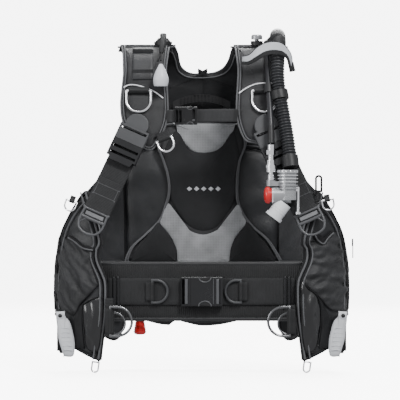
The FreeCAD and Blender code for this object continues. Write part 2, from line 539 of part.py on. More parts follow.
def build_valves():
    r, h = KNOB_R, KNOB_LEN
    base = KNOB_Z - h / 2
    profile = Part.Wire([
        Part.Arc(V(0, 0, base + 5), V(r * 0.55, 0, base + 3.5), V(r * 0.8, 0, base)).toShape(),
        Part.Arc(V(r * 0.8, 0, base), V(r * 0.99, 0, base + h * 0.18),
                 V(r * 0.93, 0, base + h * 0.42)).toShape(),
        Part.Arc(V(r * 0.93, 0, base + h * 0.42), V(r * 0.64, 0, base + h * 0.75),
                 V(3, 0, base + h)).toShape(),
        Part.LineSegment(V(3, 0, base + h), V(0, 0, base + h)).toShape(),
        Part.LineSegment(V(0, 0, base + h), V(0, 0, base + 5)).toShape()])
    knob = Part.Face(profile).revolve(V(0, 0, 0), V(0, 0, 1), 360)
    save("shoulder_pull_knob", moved(knob, KNOB_X, KNOB_Y, 0))
    left_valve = fused([cyl(17, 8, (-72, ARCH_Y, SHOULDER_TOP - 3.2), (0, 0, 1)),
                        cone(15, 9, 7, (-72, ARCH_Y, SHOULDER_TOP + 4.8), (0, 0, 1))]).cut(arch_solid())

    h = RED_KNOB_LEN
    steps = 6
    rings = [cone(5.5 + k * 1.2, 6.7 + k * 1.2, h / steps, (0, 0, -k * h / steps), (0, 0, -1))
             for k in range(steps)]
    rings += [cyl(7.6 + k * 1.08, 2.0, (0, 0, -(k + 0.85) * h / steps), (0, 0, -1)) for k in range(steps - 1)]
    save("red_pull_knob", moved(fused(rings), RED_X, RED_Y, RED_TOP))
    valve = fused([cyl(19, 6, (RED_X, BACK_Y + 6.3, -128), (0, -1, 0)),
                   cyl(12, 8, (RED_X, BACK_Y + 14, -128), (0, -1, 0))])
    save("rear_valve", valve)
    right_valve = cyl(11.5, 9, (CAP_X, CAP_Y, SHOULDER_TOP - 3.2), (0, 0, 1)).cut(arch_solid())
    save("shoulder_valves", left_valve, right_valve)
    cap = cyl(10.5, 9, (CAP_X, CAP_Y, SHOULDER_TOP + 9), (0, 0, 1))
    cap = rounded(cap, 4.0, [e for e in cap.Edges if e.BoundBox.ZMin > SHOULDER_TOP + 17])
    save("dump_valve_knob", fused([cap, cyl(4, 3.4, (CAP_X, CAP_Y, SHOULDER_TOP + 6.2), (0, 0, 1))]))


# ---- cords and hoses --------------------------------------------------------------------------
def rounded_path(points):
    """Straight runs joined by tangent arcs, and the arcs' radii."""
    pts = [V(*p) for p in points]
    edges, radii = [], []
    start = pts[0]
    for a, b, c in zip(pts, pts[1:], pts[2:]):
        u, w = (a - b).normalize(), (c - b).normalize()
        half_turn = (math.pi - u.getAngle(w)) / 2
        trim = 0.45 * min((a - b).Length, (c - b).Length)
        radius = trim / math.tan(half_turn)
        radii.append(radius)
        p0, p1 = b + u * trim, b + w * trim
        bis = (u + w).normalize()
        mid = b + bis * (math.hypot(radius, trim) - radius)
        edges.append(Part.LineSegment(start, p0).toShape())
        edges.append(Part.Arc(p0, mid, p1).toShape())
        start = p1
    edges.append(Part.LineSegment(start, pts[-1]).toShape())
    return Part.Wire(edges), radii


def tube(name, points, diameter):
    path, radii = rounded_path(points)
    first = (V(*points[1]) - V(*points[0])).normalize()
    ring = Part.Wire(Part.Circle(V(*points[0]), first, diameter / 2).toShape())
    solid = path.makePipeShell([ring], True, False)
    expected = math.pi * diameter ** 2 / 4 * path.Length
    print("%-20s length %.1f  volume %.4f of section x length  radii %s" % (
        name, path.Length, solid.Volume / expected, " ".join("%.0f" % r for r in radii)))
    return solid


HOSE_ROUTE = [(142, -210, 348), (142, -229, 345), (142, -247, 336), (141, -263, 320), (140, -275, 299),
              (139.5, -282, 274), (142, -289, 247), (147, -296, 219), (152, -304, 189), (157.5, -313, 157),
              (161, -322, 126)]
LP_ROUTE = [(127, -324, 148.4), (127, -317, 178), (125.5, -303, 211), (123.5, -287, 243), (122.5, -271, 274),
            (121.5, -253, 303), (121, -230, 326), (121, -203, 339), (121, -173, 341), (119, -141, 330),
            (117.5, -116, 308), (117, -100, 280), (118, -93, 248), (120, -90, 214), (123, -88, 180),
            (125, -88, 146), (126, -87, 112), (125, -87, 80)]
PULL_ROUTE = [(-72, -190, 351), (-71.5, -203, 355), (-71, -217, 352), (-71.5, -232, 344), (-73, -248, 332),
              (-74.5, -262, 317), (-75, -272, 303)]
FLAP_Y = -294.0          # rear face of the reflective flap
BODY_X, BODY_Y = 157.0, -328.0       # axis of the inflator's body
QD_X, QD_Y = 127.0, -324.0           # axis of the quick coupling
QD_BORE_R = 6.0


def build_hoses():
    hose = tube("corrugated_hose", HOSE_ROUTE, HOSE_D)
    save("corrugated_hose", hose)
    lp = tube("lp_hose", LP_ROUTE, LP_HOSE_D)
    save("lp_hose", lp)
    end = V(*LP_ROUTE[-1])
    way = (end - V(*LP_ROUTE[-2])).normalize()

    def along(shape):
        out = shape.copy()
        out.Placement = FreeCAD.Placement(end, FreeCAD.Rotation(V(0, 0, 1), way))
        return out
    nut = outline([(9.5 * math.cos(k * 60 * RAD), 9.5 * math.sin(k * 60 * RAD)) for k in range(6)])
    nut = turned(nut.extrude(V(0, -8, 0)), (1, 0, 0), 90)
    nut = moved(nut, 0, 0, 26 - nut.BoundBox.ZMin)
    save("lp_fitting", along(fused([cyl(7.5, 26, (0, 0, 0), (0, 0, 1)), nut,
                                    cyl(4.8, 12, (0, 0, 34), (0, 0, 1))])))

    elbow = fused([cyl(14.5, 15, (142, ARCH_Y - 6, SHOULDER_TOP - 2), (0, 0, 1)),
                   Part.makeSphere(14.5, V(142, ARCH_Y - 6, SHOULDER_TOP + 11))])
    start, way = V(*HOSE_ROUTE[0]), (V(*HOSE_ROUTE[0]) - V(*HOSE_ROUTE[1])).normalize()
    stub = Part.makeCylinder(HOSE_D / 2 + 1.5, 30, start, way)
    shoulder = arch_solid()
    save("hose_elbow", fused([elbow, stub]).cut(shoulder))

    a, b = V(*HOSE_ROUTE[6]), V(*HOSE_ROUTE[7])
    way = (b - a).normalize()
    at = a + way * 1
    lp_a, lp_b = V(*LP_ROUTE[3]), V(*LP_ROUTE[4])
    big = Part.makeCylinder(HOSE_D / 2 + 3, 16, at, way)
    small_way = (lp_a - lp_b).normalize()
    small_at = lp_b + small_way * 18
    small = Part.makeCylinder(LP_HOSE_D / 2 + 3, 18, small_at, small_way)
    bores = [Part.makeCylinder(HOSE_D / 2 + 0.6, 60, at - way * 20, way),
             Part.makeCylinder(LP_HOSE_D / 2 + 0.6, 60, small_at - small_way * 20, small_way)]
    retainer = fused([big, small])
    for bore in bores:
        retainer = retainer.cut(bore)
    end, last = V(*HOSE_ROUTE[-1]), V(*HOSE_ROUTE[-2])
    way = (end - last).normalize()
    cuff = Part.makeCylinder(HOSE_D / 2 + 2.2, 22, end, way)
    save("hose_bands", retainer, cuff.cut(Part.makeCylinder(40, 60, V(BODY_X, BODY_Y, 101), V(0, 0, -1))))

    # The reflective flap goes over both hoses from one edge of the shoulder pad to the other.
    flap = slab([(74, 306), (104, 322, 88, 317), (136, 332, 119, 330), (160, 318, 150, 328), (170, 296),
                 (175, 282), (165, 290), (156, 306), (136, 316, 148, 314), (104, 304, 119, 313),
                 (78, 294, 90, 297)], FLAP_Y, 2.5)
    ends = [box(74, 79, FLAP_Y, -250, 294, 306), box(160, 166, FLAP_Y, -252, 290, 308)]
    save("hose_flap", fused([flap] + [e.cut(shoulder) for e in ends]))
    save("pull_cords", tube("shoulder_pull_cord", PULL_ROUTE, 3.0),
         cyl(1.5, RED_TOP * -1 - 141.2, (RED_X, RED_Y, RED_TOP + 0.3), (0, 0, 1)))


def arch_solid():
    """The space that the shoulders' padding takes, to cut what lies on it."""
    over = cyl(ARCH_R + 0.3, 400, (-200, ARCH_Y, ARCH_Z), (1, 0, 0))
    return over.cut(box(-300, 300, -400, 0, ARCH_Z - 200, ARCH_Z))


def build_inflator():
    x, y = BODY_X, BODY_Y
    core = fused([cyl(16, 50, (x, y, 46), (0, 0, 1)), cyl(19, 6, (x, y, 95), (0, 0, 1)),
                  cyl(15, 34, (x - 28, y, 55), (1, 0, 0)), cyl(9, 10.5, (QD_X, QD_Y, 71.5), (0, 0, 1)),
                  box(QD_X, x, y - 7, y + 7, 71.5, 80)])
    fins = [cyl(19, 2, (x, y, z), (0, 0, 1)) for z in range(66, 92, 6)]
    button_bore = cyl(13.5, 9, (x - 28.1, y, 55), (1, 0, 0))
    lever_slot = box(x + 10, x + 30, y - 4, y + 4, 40, 80)
    body = fused([core] + fins).cut(button_bore).cut(lever_slot)
    save("inflator_body", body)
    button = fused([cyl(13.0, 5.5, (x - 30.0, y, 55), (1, 0, 0)), cyl(15.5, 3.0, (x - 36, y, 55), (1, 0, 0)),
                    cyl(13.0, 4.0, (x - 33.5, y, 55), (1, 0, 0))])
    save("inflate_button", button)

    tilt_u = V(-0.60, 0, -0.80)
    at = V(x - 4, y, 44)
    mouth = Part.makeCylinder(14.5, 34, at + tilt_u * 4, tilt_u)
    mouth = mouth.fuse(Part.makeCylinder(16.5, 6, at + tilt_u * 32, tilt_u)).removeSplitter()
    mouth = mouth.cut(Part.makeCylinder(10.0, 30, at + tilt_u * 12, tilt_u))
    save("mouthpiece", mouth.cut(cyl(16.4, 60, (x, y, 46), (0, 0, 1))).cut(
        cyl(15.4, 40, (x - 30, y, 55), (1, 0, 0))))
    rod = fused([cyl(2.5, 46, (x + 19, y, 22), (0, 0, 1)), box(x + 12, x + 21, y - 3, y + 3, 62, 70),
                 cyl(5, 4, (x + 19, y, 20), (0, 0, 1))])
    save("deflate_lever", rod)

    save("coupling_nipple", cyl(4.5, 16, (QD_X, QD_Y, 92), (0, 0, 1)).fuse(
        cyl(6.5, 10, (QD_X, QD_Y, 82.4), (0, 0, 1))).removeSplitter())
    neck = cyl(QD_BORE_R - GAP, 22, (QD_X, QD_Y, 108.4), (0, 0, 1))
    hexagon = outline([(8.5 * math.cos(k * 60 * RAD), 8.5 * math.sin(k * 60 * RAD)) for k in range(6)])
    hexagon = turned(hexagon.extrude(V(0, -8, 0)), (1, 0, 0), 90)
    hexagon = moved(hexagon, QD_X, QD_Y, 129 - hexagon.BoundBox.ZMin)
    ferrule = cyl(6.6, 10, (QD_X, QD_Y, 137), (0, 0, 1))
    save("coupling_body", fused([neck, hexagon, ferrule]))
    sleeve = fused([cyl(9, 14, (QD_X, QD_Y, 97), (0, 0, 1)), cyl(10.5, 4, (QD_X, QD_Y, 105), (0, 0, 1)),
                    cyl(8, 9, (QD_X, QD_Y, 110), (0, 0, 1))])
    save("coupling_sleeve", sleeve.cut(cyl(QD_BORE_R, 40, (QD_X, QD_Y, 90), (0, 0, 1))))


if __name__ == "__main__":
    build_back()
    build_soft_back()
    build_sides()
    build_waist_buckle()
    build_sternum_strap()
    build_shoulder_straps()
    build_rings()
    build_weights()
    build_small()
    build_valves()
    build_hoses()
    build_inflator()
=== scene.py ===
import logging
import math
from dataclasses import dataclass, field
from enum import Enum
from typing import Any, Callable, Sequence

import bmesh
import bpy
import numpy as np
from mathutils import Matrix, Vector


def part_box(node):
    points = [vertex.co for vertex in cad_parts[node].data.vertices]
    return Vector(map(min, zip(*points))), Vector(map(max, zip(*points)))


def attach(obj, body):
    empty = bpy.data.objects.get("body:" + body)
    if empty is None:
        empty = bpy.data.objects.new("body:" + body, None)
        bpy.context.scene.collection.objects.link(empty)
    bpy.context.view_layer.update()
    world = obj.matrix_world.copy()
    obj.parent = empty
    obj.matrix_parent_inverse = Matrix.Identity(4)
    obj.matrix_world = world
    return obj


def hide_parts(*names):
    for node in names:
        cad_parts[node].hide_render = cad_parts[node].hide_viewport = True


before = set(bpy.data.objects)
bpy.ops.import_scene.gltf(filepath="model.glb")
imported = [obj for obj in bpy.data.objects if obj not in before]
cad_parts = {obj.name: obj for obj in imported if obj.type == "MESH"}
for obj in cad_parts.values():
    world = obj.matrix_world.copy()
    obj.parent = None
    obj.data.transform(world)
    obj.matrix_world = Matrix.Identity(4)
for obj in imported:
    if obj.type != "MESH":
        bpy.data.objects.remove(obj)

LOG = logging.getLogger("vest")
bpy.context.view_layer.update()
MM = 0.001
Array = np.ndarray
Point = tuple[float, float, float]
Colour = tuple[float, float, float]


# ---- sizes shared by the soft pieces, in millimetres as the pattern maker gives them ------------
ARCH_R = 75.0            # outer radius of the shoulder arch
ARCH_Y = -183.0          # depth of the arch's centre
ARCH_Z = 262.0           # height of the arch's centre
LEAN = math.radians(12.0)  # how far the shoulder's front falls from plumb
SHOULDER_T = 14.0        # thickness of a shoulder pad
LOBE_CX, LOBE_CY = 150.0, -210.0    # centre of a side lobe's ellipse
LOBE_A, LOBE_B = 127.0, 106.0       # its half width and half depth
LOBE_T = 22.0            # thickness of a lobe's wall
PAD_REAR = -124.4        # depth of the back pad's rear face
WAIST_Z = -122.0         # height of the belt's middle line
WEB = 50.0               # width of the harness webbing
SIDES: tuple[tuple[str, float], ...] = (("left", -1.0), ("right", 1.0))


# ---- shading ------------------------------------------------------------------------------------
class Val:
    """One shader socket whose arithmetic adds Math nodes."""

    def __init__(self, net: "Net", socket: bpy.types.NodeSocket) -> None:
        """Keeps the network and the socket."""
        self.net, self.socket = net, socket

    def _math(self, operation: str, *others: Any) -> "Val":
        """Adds one Math node on this value and the others."""
        return self.net.node("ShaderNodeMath", {"operation": operation}, [self, *others])

    def __add__(self, other: Any) -> "Val":
        """Sum."""
        return self._math("ADD", other)

    __radd__ = __add__

    def __mul__(self, other: Any) -> "Val":
        """Product."""
        return self._math("MULTIPLY", other)

    __rmul__ = __mul__

    def __sub__(self, other: Any) -> "Val":
        """Difference."""
        return self._math("SUBTRACT", other)

    def __rsub__(self, other: Any) -> "Val":
        """Difference, reflected."""
        return self.net.node("ShaderNodeMath", {"operation": "SUBTRACT"}, [other, self])

    def __truediv__(self, other: Any) -> "Val":
        """Quotient."""
        return self._math("DIVIDE", other)

    def sine(self) -> "Val":
        """Sine of the value in radians."""
        return self._math("SINE")

    def absolute(self) -> "Val":
        """Value without its sign."""
        return self._math("ABSOLUTE")

    def power(self, exponent: float) -> "Val":
        """The value to a power."""
        return self._math("POWER", exponent)


class Net:
    """A material's node network."""

    def __init__(self, name: str) -> None:
        """Starts an empty network with a Principled shader.

        Args:
            name: the material's name.
        """
        self.material = bpy.data.materials.new(name)
        self.material.use_nodes = True
        self.tree = self.material.node_tree
        self.shader = next(n for n in self.tree.nodes if n.type == "BSDF_PRINCIPLED")

    def node(self, kind: str, settings: dict[str, Any], values: Any = (), out: int = 0) -> Val:
        """Adds a node, its settings first and then its inputs.

        Args:
            kind: the node's type name.
            settings: attributes set on the node.
            values: a list in socket order, or a dict by socket name.
            out: which output to return.

        Returns:
            The chosen output.
        """
        made = self.tree.nodes.new(kind)
        for key, value in settings.items():
            if key == "stops":
                self._stops(made, value)
            else:
                setattr(made, key, value)
        pairs = values.items() if isinstance(values, dict) else enumerate(values)
        for key, value in pairs:
            if isinstance(value, Val):
                self.tree.links.new(value.socket, made.inputs[key])
            else:
                made.inputs[key].default_value = value
        return Val(self, made.outputs[out])

    @staticmethod
    def _stops(ramp: bpy.types.Node, stops: Sequence[tuple[float, Colour]]) -> None:
        """Sets a colour ramp's stops."""
        elements = ramp.color_ramp.elements
        while len(elements) < len(stops):
            elements.new(0.5)
        for element, (place, colour) in zip(elements, stops):
            element.position = place
            element.color = (*colour, 1.0)

    def feed(self, name: str, value: Any) -> None:
        """Sets or links one input of the Principled shader."""
        if isinstance(value, Val):
            self.tree.links.new(value.socket, self.shader.inputs[name])
        else:
            self.shader.inputs[name].default_value = value

    def uv(self) -> tuple[Val, Val]:
        """The piece's own cloth coordinates, in metres along and across."""
        uv = self.node("ShaderNodeUVMap", {"uv_map": "cloth"})
        return self.split(uv)[:2]

    def split(self, vector: Val) -> tuple[Val, Val, Val]:
        """The three parts of a vector."""
        parts = self.node("ShaderNodeSeparateXYZ", {}, [vector])
        node = parts.socket.node
        return tuple(Val(self, node.outputs[k]) for k in range(3))

    def place(self) -> Val:
        """Object coordinates, in metres."""
        return self.node("ShaderNodeTexCoord", {}, (), 3)

    def noise(self, where: Val, scale: float, detail: float = 3.0) -> Val:
        """Cloudy noise from 0 to 1."""
        return self.node("ShaderNodeTexNoise", {}, {"Vector": where, "Scale": scale, "Detail": detail})

    def ramp(self, factor: Val, stops: Sequence[tuple[float, Colour]]) -> Val:
        """A colour ramp over a value."""
        return self.node("ShaderNodeValToRGB", {"stops": stops}, [factor])

    def bump(self, height: Val, depth: float, strength: float = 1.0, under: Val | None = None) -> Val:
        """A bump of the given depth in metres, laid on another normal if there is one."""
        values = {"Height": height, "Strength": strength, "Distance": depth}
        if under is not None:
            values["Normal"] = under
        return self.node("ShaderNodeBump", {}, values)


def shade(colour: Colour, factor: float) -> Colour:
    """A colour made lighter or darker.

    Args:
        colour: red, green and blue.
        factor: what each is multiplied by.

    Returns:
        The colour, no part above one.
    """
    return tuple(min(c * factor, 1.0) for c in colour)


class Weave(Enum):
    """How a cloth's threads lie."""

    PLAIN = "plain"
    RIBBED = "ribbed"
    ACROSS = "across"
    MESH = "mesh"
    RIPSTOP = "ripstop"


@dataclass(frozen=True)
class Cloth:
    """A woven or knitted finish that follows the piece's own coordinates."""

    name: str
    colour: Colour
    rough: float = 0.75
    weave: Weave = Weave.PLAIN
    pitch: float = 1.6          # thread spacing, mm
    depth: float = 0.25         # thread relief, mm
    sheen: float = 0.25
    mottle: float = 0.16        # share by which the tone varies
    coat: float = 0.0
    gloss: float = 0.14         # share of a plastic's mirror reflection

    def make(self) -> bpy.types.Material:
        """Threads are products or ridges of sines of the cloth coordinates; tone is noise."""
        net = Net(self.name)
        u, v = net.uv()
        turn = 2 * math.pi / (self.pitch * MM)
        if self.weave is Weave.RIBBED:
            threads = (v * turn).sine() * 0.5 + 0.5 + (u * turn * 1.7).sine() * 0.14
        elif self.weave is Weave.ACROSS:
            threads = (u * turn).sine() * 0.5 + 0.5 + (v * turn * 1.7).sine() * 0.10
        elif self.weave is Weave.MESH:
            cells = (u * turn * 0.5).sine() * (v * turn * 0.5).sine()
            threads = 1 - cells.absolute().power(0.6)
        elif self.weave is Weave.RIPSTOP:
            fine = (u * turn).sine() * (v * turn).sine() * 0.3 + 0.5
            grid = (u * turn / 6).sine().power(24.0) + (v * turn / 6).sine().power(24.0)
            threads = fine + grid * 0.5
        else:
            threads = (u * turn).sine() * (v * turn).sine() * 0.5 + 0.5
        where = net.place()
        cloud = net.noise(where, 28.0, 4.0)
        grain = net.noise(where, 900.0, 2.0)
        low, high = shade(self.colour, 1 - self.mottle * 1.6), shade(self.colour, 1 + self.mottle * 1.6)
        tone = net.ramp(cloud * 0.72 + threads * 0.18 + grain * 0.1, [(0.28, low), (0.72, high)])
        net.feed("Base Color", tone)
        net.feed("Roughness", cloud * 0.16 + (self.rough - 0.08))
        net.feed("Specular IOR Level", self.gloss)
        net.feed("Sheen Weight", self.sheen)
        net.feed("Sheen Roughness", 0.45)
        if self.coat:
            net.feed("Coat Weight", self.coat)
            net.feed("Coat Roughness", 0.35)
        creases = net.bump(net.noise(where, 55.0, 5.0), 0.0011, 0.55)
        net.feed("Normal", net.bump(threads, self.depth * MM, 0.8, creases))
        return net.material


@dataclass(frozen=True)
class Moulded:
    """Plastic, rubber or metal with fine grain and a little wear."""

    name: str
    colour: Colour
    rough: float = 0.45
    metal: float = 0.0
    grain: float = 700.0
    depth: float = 0.05         # grain relief, mm
    coat: float = 0.0
    wear: float = 0.12
    gloss: float = 0.3

    def make(self) -> bpy.types.Material:
        """Grain is fine noise in the bump; wear is broad noise in tone and roughness."""
        net = Net(self.name)
        where = net.place()
        broad = net.noise(where, 22.0, 5.0)
        fine = net.noise(where, self.grain, 2.0)
        low, high = shade(self.colour, 1 - self.wear), shade(self.colour, 1 + self.wear)
        net.feed("Base Color", net.ramp(broad * 0.8 + fine * 0.2, [(0.3, low), (0.7, high)]))
        net.feed("Roughness", broad * 0.14 + fine * 0.06 + (self.rough - 0.1))
        net.feed("Metallic", self.metal)
        net.feed("Specular IOR Level", self.gloss)
        if self.coat:
            net.feed("Coat Weight", self.coat)
            net.feed("Coat Roughness", 0.12)
        net.feed("Normal", net.bump(fine, self.depth * MM, 0.7))
        return net.material


@dataclass(frozen=True)
class Vinyl:
    """Glossy creased sheet, as inside the weight pockets."""

    name: str
    colour: Colour

    def make(self) -> bpy.types.Material:
        """Creases are stretched noise, deep enough to break up the gloss; the same noise sets the colour,
        darker in the creases' troughs and lighter on their crests, as painted shade and highlight.
        """
        net = Net(self.name)
        x, y, z = net.split(net.place())
        stretched = net.node("ShaderNodeCombineXYZ", {}, [x * 1.6, y * 1.6, z * 0.5])
        folds = net.noise(stretched, 17.0, 3.0)
        # painted shade and highlight: the colour follows the crease height, darker where the folds lie low
        # and lighter where they stand high
        stops = [(0.3, shade(self.colour, 0.6)), (0.75, shade(self.colour, 1.5))]
        net.feed("Base Color", net.ramp(folds, stops))
        net.feed("Roughness", folds * 0.14 + 0.12)
        net.feed("Specular IOR Level", 0.55)
        net.feed("Normal", net.bump(folds, 0.006, 0.8))
        return net.material


FINISHES: dict[str, Any] = {f.name: f for f in (
    Cloth("nylon_dark", (0.0085, 0.0087, 0.0095), 0.6, Weave.PLAIN, 1.0, 0.12, 0.02, 0.24),
    Cloth("nylon_mid", (0.014, 0.0143, 0.0155), 0.55, Weave.PLAIN, 1.2, 0.16, 0.03, 0.22, 0.0, 0.3),
    Cloth("nylon_satin", (0.0105, 0.011, 0.0125), 0.42, Weave.PLAIN, 0.8, 0.08, 0.02, 0.24, 0.0, 0.34),
    Cloth("pad_knit", (0.0165, 0.0168, 0.0178), 0.84, Weave.PLAIN, 1.4, 0.22, 0.03, 0.14),
    Cloth("air_mesh", (0.20, 0.204, 0.21), 0.85, Weave.MESH, 3.0, 0.5, 0.15, 0.22),
    Cloth("piping", (0.072, 0.073, 0.077), 0.55, Weave.ACROSS, 1.2, 0.12, 0.12, 0.14),
    Cloth("piping_dark", (0.007, 0.007, 0.0078), 0.55, Weave.ACROSS, 1.2, 0.12, 0.05, 0.14),
    Cloth("webbing", (0.0175, 0.0178, 0.0186), 0.62, Weave.ACROSS, 2.6, 0.5, 0.03, 0.14),
    Cloth("webbing_pale", (0.026, 0.0263, 0.0275), 0.62, Weave.ACROSS, 2.4, 0.45, 0.05, 0.14),
    Cloth("elastic", (0.0165, 0.0167, 0.0172), 0.74, Weave.ACROSS, 3.6, 0.9, 0.03, 0.14),
    Cloth("slider_bar", (0.13, 0.132, 0.138), 0.5, Weave.ACROSS, 2.4, 0.4, 0.03, 0.2),
    Cloth("silver_cloth", (0.42, 0.43, 0.45), 0.36, Weave.RIPSTOP, 1.2, 0.1, 0.05, 0.1, 0.25),
    Cloth("silver_piping", (0.66, 0.66, 0.68), 0.4, Weave.ACROSS, 1.4, 0.1, 0.05, 0.05),
    Moulded("plate_plastic", (0.0085, 0.0085, 0.0092), 0.42, 0.0, 420.0, 0.10),
    Moulded("buckle_plastic", (0.010, 0.0102, 0.0112), 0.26, 0.0, 800.0, 0.03),
    Moulded("buckle_dark", (0.006, 0.006, 0.0066), 0.32, 0.0, 800.0, 0.03),
    Moulded("head_plastic", (0.036, 0.037, 0.0395), 0.42, 0.0, 800.0, 0.05),
    Moulded("ring_plastic", (0.058, 0.059, 0.063), 0.3, 0.0, 700.0, 0.03),
    Moulded("steel", (0.72, 0.72, 0.74), 0.2, 1.0, 300.0, 0.02),
    # painted reflection: steel darkened to stand in for the dark surroundings that the lower rings reflect
    Moulded("steel_painted_dark_reflection", (0.16, 0.161, 0.166), 0.26, 1.0, 300.0, 0.02),
    Moulded("chrome", (0.86, 0.86, 0.88), 0.16, 1.0, 300.0, 0.0, 0.0, 0.05),
    Moulded("pale_grip", (0.44, 0.45, 0.47), 0.36, 0.0, 260.0, 0.2, 0.0, 0.16),
    Moulded("mouth_grey", (0.55, 0.56, 0.58), 0.36, 0.0, 400.0, 0.06),
    Moulded("inflator_grey", (0.27, 0.275, 0.285), 0.28, 0.5, 500.0, 0.05),
    Moulded("red_plastic", (0.42, 0.012, 0.012), 0.3, 0.0, 500.0, 0.03, 0.25, 0.15),
    Moulded("rubber", (0.009, 0.0092, 0.01), 0.5, 0.0, 420.0, 0.06),
    Moulded("hose_rubber", (0.0155, 0.016, 0.018), 0.34, 0.0, 500.0, 0.04),
    Moulded("cord_black", (0.005, 0.005, 0.0055), 0.6, 0.0, 600.0, 0.08),
    Vinyl("vinyl", (0.0055, 0.0055, 0.0062)),
)}
MATERIALS: dict[str, bpy.types.Material] = {}


def finish(name: str) -> bpy.types.Material:
    """The material of that finish, made once.

    Args:
        name: a finish in FINISHES.

    Returns:
        Its material.
    """
    if name not in MATERIALS:
        MATERIALS[name] = FINISHES[name].make()
    return MATERIALS[name]


# ---- meshes from arrays ---------------------------------------------------------------------------
EDGE_ANGLE = math.radians(38.0)     # a turned piece's edges sharper than this shade as corners


def add_mesh(name: str, points: Array, faces: Array, cloth: Array, look: str, tris: Array | None = None,
             smooth: bool = True) -> bpy.types.Object:
    """Puts arrays into a mesh object, in metres, with its cloth coordinates.

    Args:
        name: the piece's name.
        points: vertex places in mm, shape (n, 3).
        faces: quads, shape (f, 4).
        cloth: cloth coordinates of each vertex in mm, shape (n, 2).
        look: the finish's name.
        tris: triangles, shape (t, 3), if there are any.
        smooth: whether faces shade smoothly.

    Returns:
        The object, at the origin.
    """
    corners = [faces.reshape(-1)]
    sizes = [np.full(len(faces), 4)]
    if tris is not None and len(tris):
        corners.append(tris.reshape(-1))
        sizes.append(np.full(len(tris), 3))
    loops = np.concatenate(corners).astype(np.int32)
    totals = np.concatenate(sizes).astype(np.int32)
    mesh = bpy.data.meshes.new(name)
    mesh.vertices.add(len(points))
    mesh.vertices.foreach_set("co", (points * MM).astype(np.float32).ravel())
    mesh.loops.add(len(loops))
    mesh.loops.foreach_set("vertex_index", loops)
    mesh.polygons.add(len(totals))
    mesh.polygons.foreach_set("loop_start", np.concatenate([[0], np.cumsum(totals)[:-1]]).astype(np.int32))
    mesh.update(calc_edges=True)
    layer = mesh.uv_layers.new(name="cloth")
    layer.data.foreach_set("uv", (cloth[loops] * MM).astype(np.float32).ravel())
    mesh.validate()
    if smooth:
        mesh.polygons.foreach_set("use_smooth", np.ones(len(totals), dtype=bool))
    made = bpy.data.objects.new(name, mesh)
    bpy.context.scene.collection.objects.link(made)
    mesh.materials.append(finish(look))
    recalculate(made)
    return made


def recalculate(piece: bpy.types.Object) -> None:
    """Turns every face of a closed piece outwards.

    Args:
        piece: the mesh object.
    """
    work = bmesh.new()
    work.from_mesh(piece.data)
    bmesh.ops.recalc_face_normals(work, faces=work.faces)
    work.to_mesh(piece.data)
    work.free()


def grid_quads(rows: int, columns: int, wrap: bool) -> Array:
    """Quads of a grid of rows by columns, its columns closed into a ring if wrap.

    Args:
        rows: how many rows of points.
        columns: how many points in a row.
        wrap: whether a row is a ring.

    Returns:
        Point numbers, shape (f, 4).
    """
    r = np.arange(rows - 1)[:, None]
    c = np.arange(columns if wrap else columns - 1)[None, :]
    nxt = (c + 1) % columns
    return np.stack([r * columns + c, r * columns + nxt, (r + 1) * columns + nxt, (r + 1) * columns + c],
                    axis=-1).reshape(-1, 4)


def end_fans(rows: int, columns: int) -> Array:
    """Triangles that close a ringed grid's first and last rows.

    Args:
        rows: how many rings the grid has.
        columns: how many points a ring has.

    Returns:
        Triangles round two points that follow the grid's own, the first row's and then the last row's.
    """
    c = np.arange(columns)
    ahead, last, tip = (c + 1) % columns, (rows - 1) * columns, rows * columns
    return np.vstack([np.stack([np.full(columns, tip), ahead, c], axis=1),
                      np.stack([np.full(columns, tip + 1), last + c, last + ahead], axis=1)])


def unit(v: Array) -> Array:
    """Rows of v at length one."""
    return v / np.maximum(np.linalg.norm(v, axis=-1, keepdims=True), 1e-9)


def run(path: Array) -> Array:
    """Length along a path to each of its points."""
    return np.concatenate([[0.0], np.cumsum(np.linalg.norm(np.diff(path, axis=0), axis=1))])


def resample(path: Array, count: int) -> Array:
    """The path at equal steps of length.

    Args:
        path: points, shape (n, d).
        count: how many points are wanted.

    Returns:
        The new points, shape (count, d).
    """
    at = run(path)
    want = np.linspace(0, at[-1], count)
    return np.stack([np.interp(want, at, path[:, k]) for k in range(path.shape[1])], axis=1)


def smooth_line(points: Sequence[Sequence[float]], count: int = 120, closed: bool = False) -> Array:
    """A Catmull-Rom curve through given points, at equal steps; a point given twice is a corner.

    Each stretch is the cubic whose slope at a point is half the step between that point's neighbours.

    Args:
        points: the given points, in two or three axes.
        count: how many points are wanted.
        closed: whether the curve is a loop.

    Returns:
        The curve's points, shape (count, d).
    """
    p = np.array(points, dtype=float)
    if closed:
        p = np.vstack([p[-1], p, p[0], p[1]])
    else:
        p = np.vstack([2 * p[0] - p[1], p, 2 * p[-1] - p[-2]])
    t = np.linspace(0, 1, 24, endpoint=False)[None, :, None]
    a, b, c, d = (p[k:len(p) - 3 + k][:, None, :] for k in range(4))
    curve = 0.5 * (2 * b + (c - a) * t + (2 * a - 5 * b + 4 * c - d) * t ** 2
                   + (3 * b - a - 3 * c + d) * t ** 3)
    curve = curve.reshape(-1, p.shape[1])
    curve = np.vstack([curve, p[-2]])
    keep = np.concatenate([[True], np.linalg.norm(np.diff(curve, axis=0), axis=1) > 1e-6])
    out = resample(curve[keep], count + 1 if closed else count)
    return out[:-1] if closed else out


Skin = Callable[[Array, Array, Array], Array]


def flat_skin(y: float) -> Skin:
    """A plane facing forwards: (x, z, rise) lies at depth y, less the rise."""
    def at(p: Array, q: Array, rise: Array) -> Array:
        """The plane's points."""
        return np.stack([p, y - rise + 0 * p, q], axis=-1)
    return at


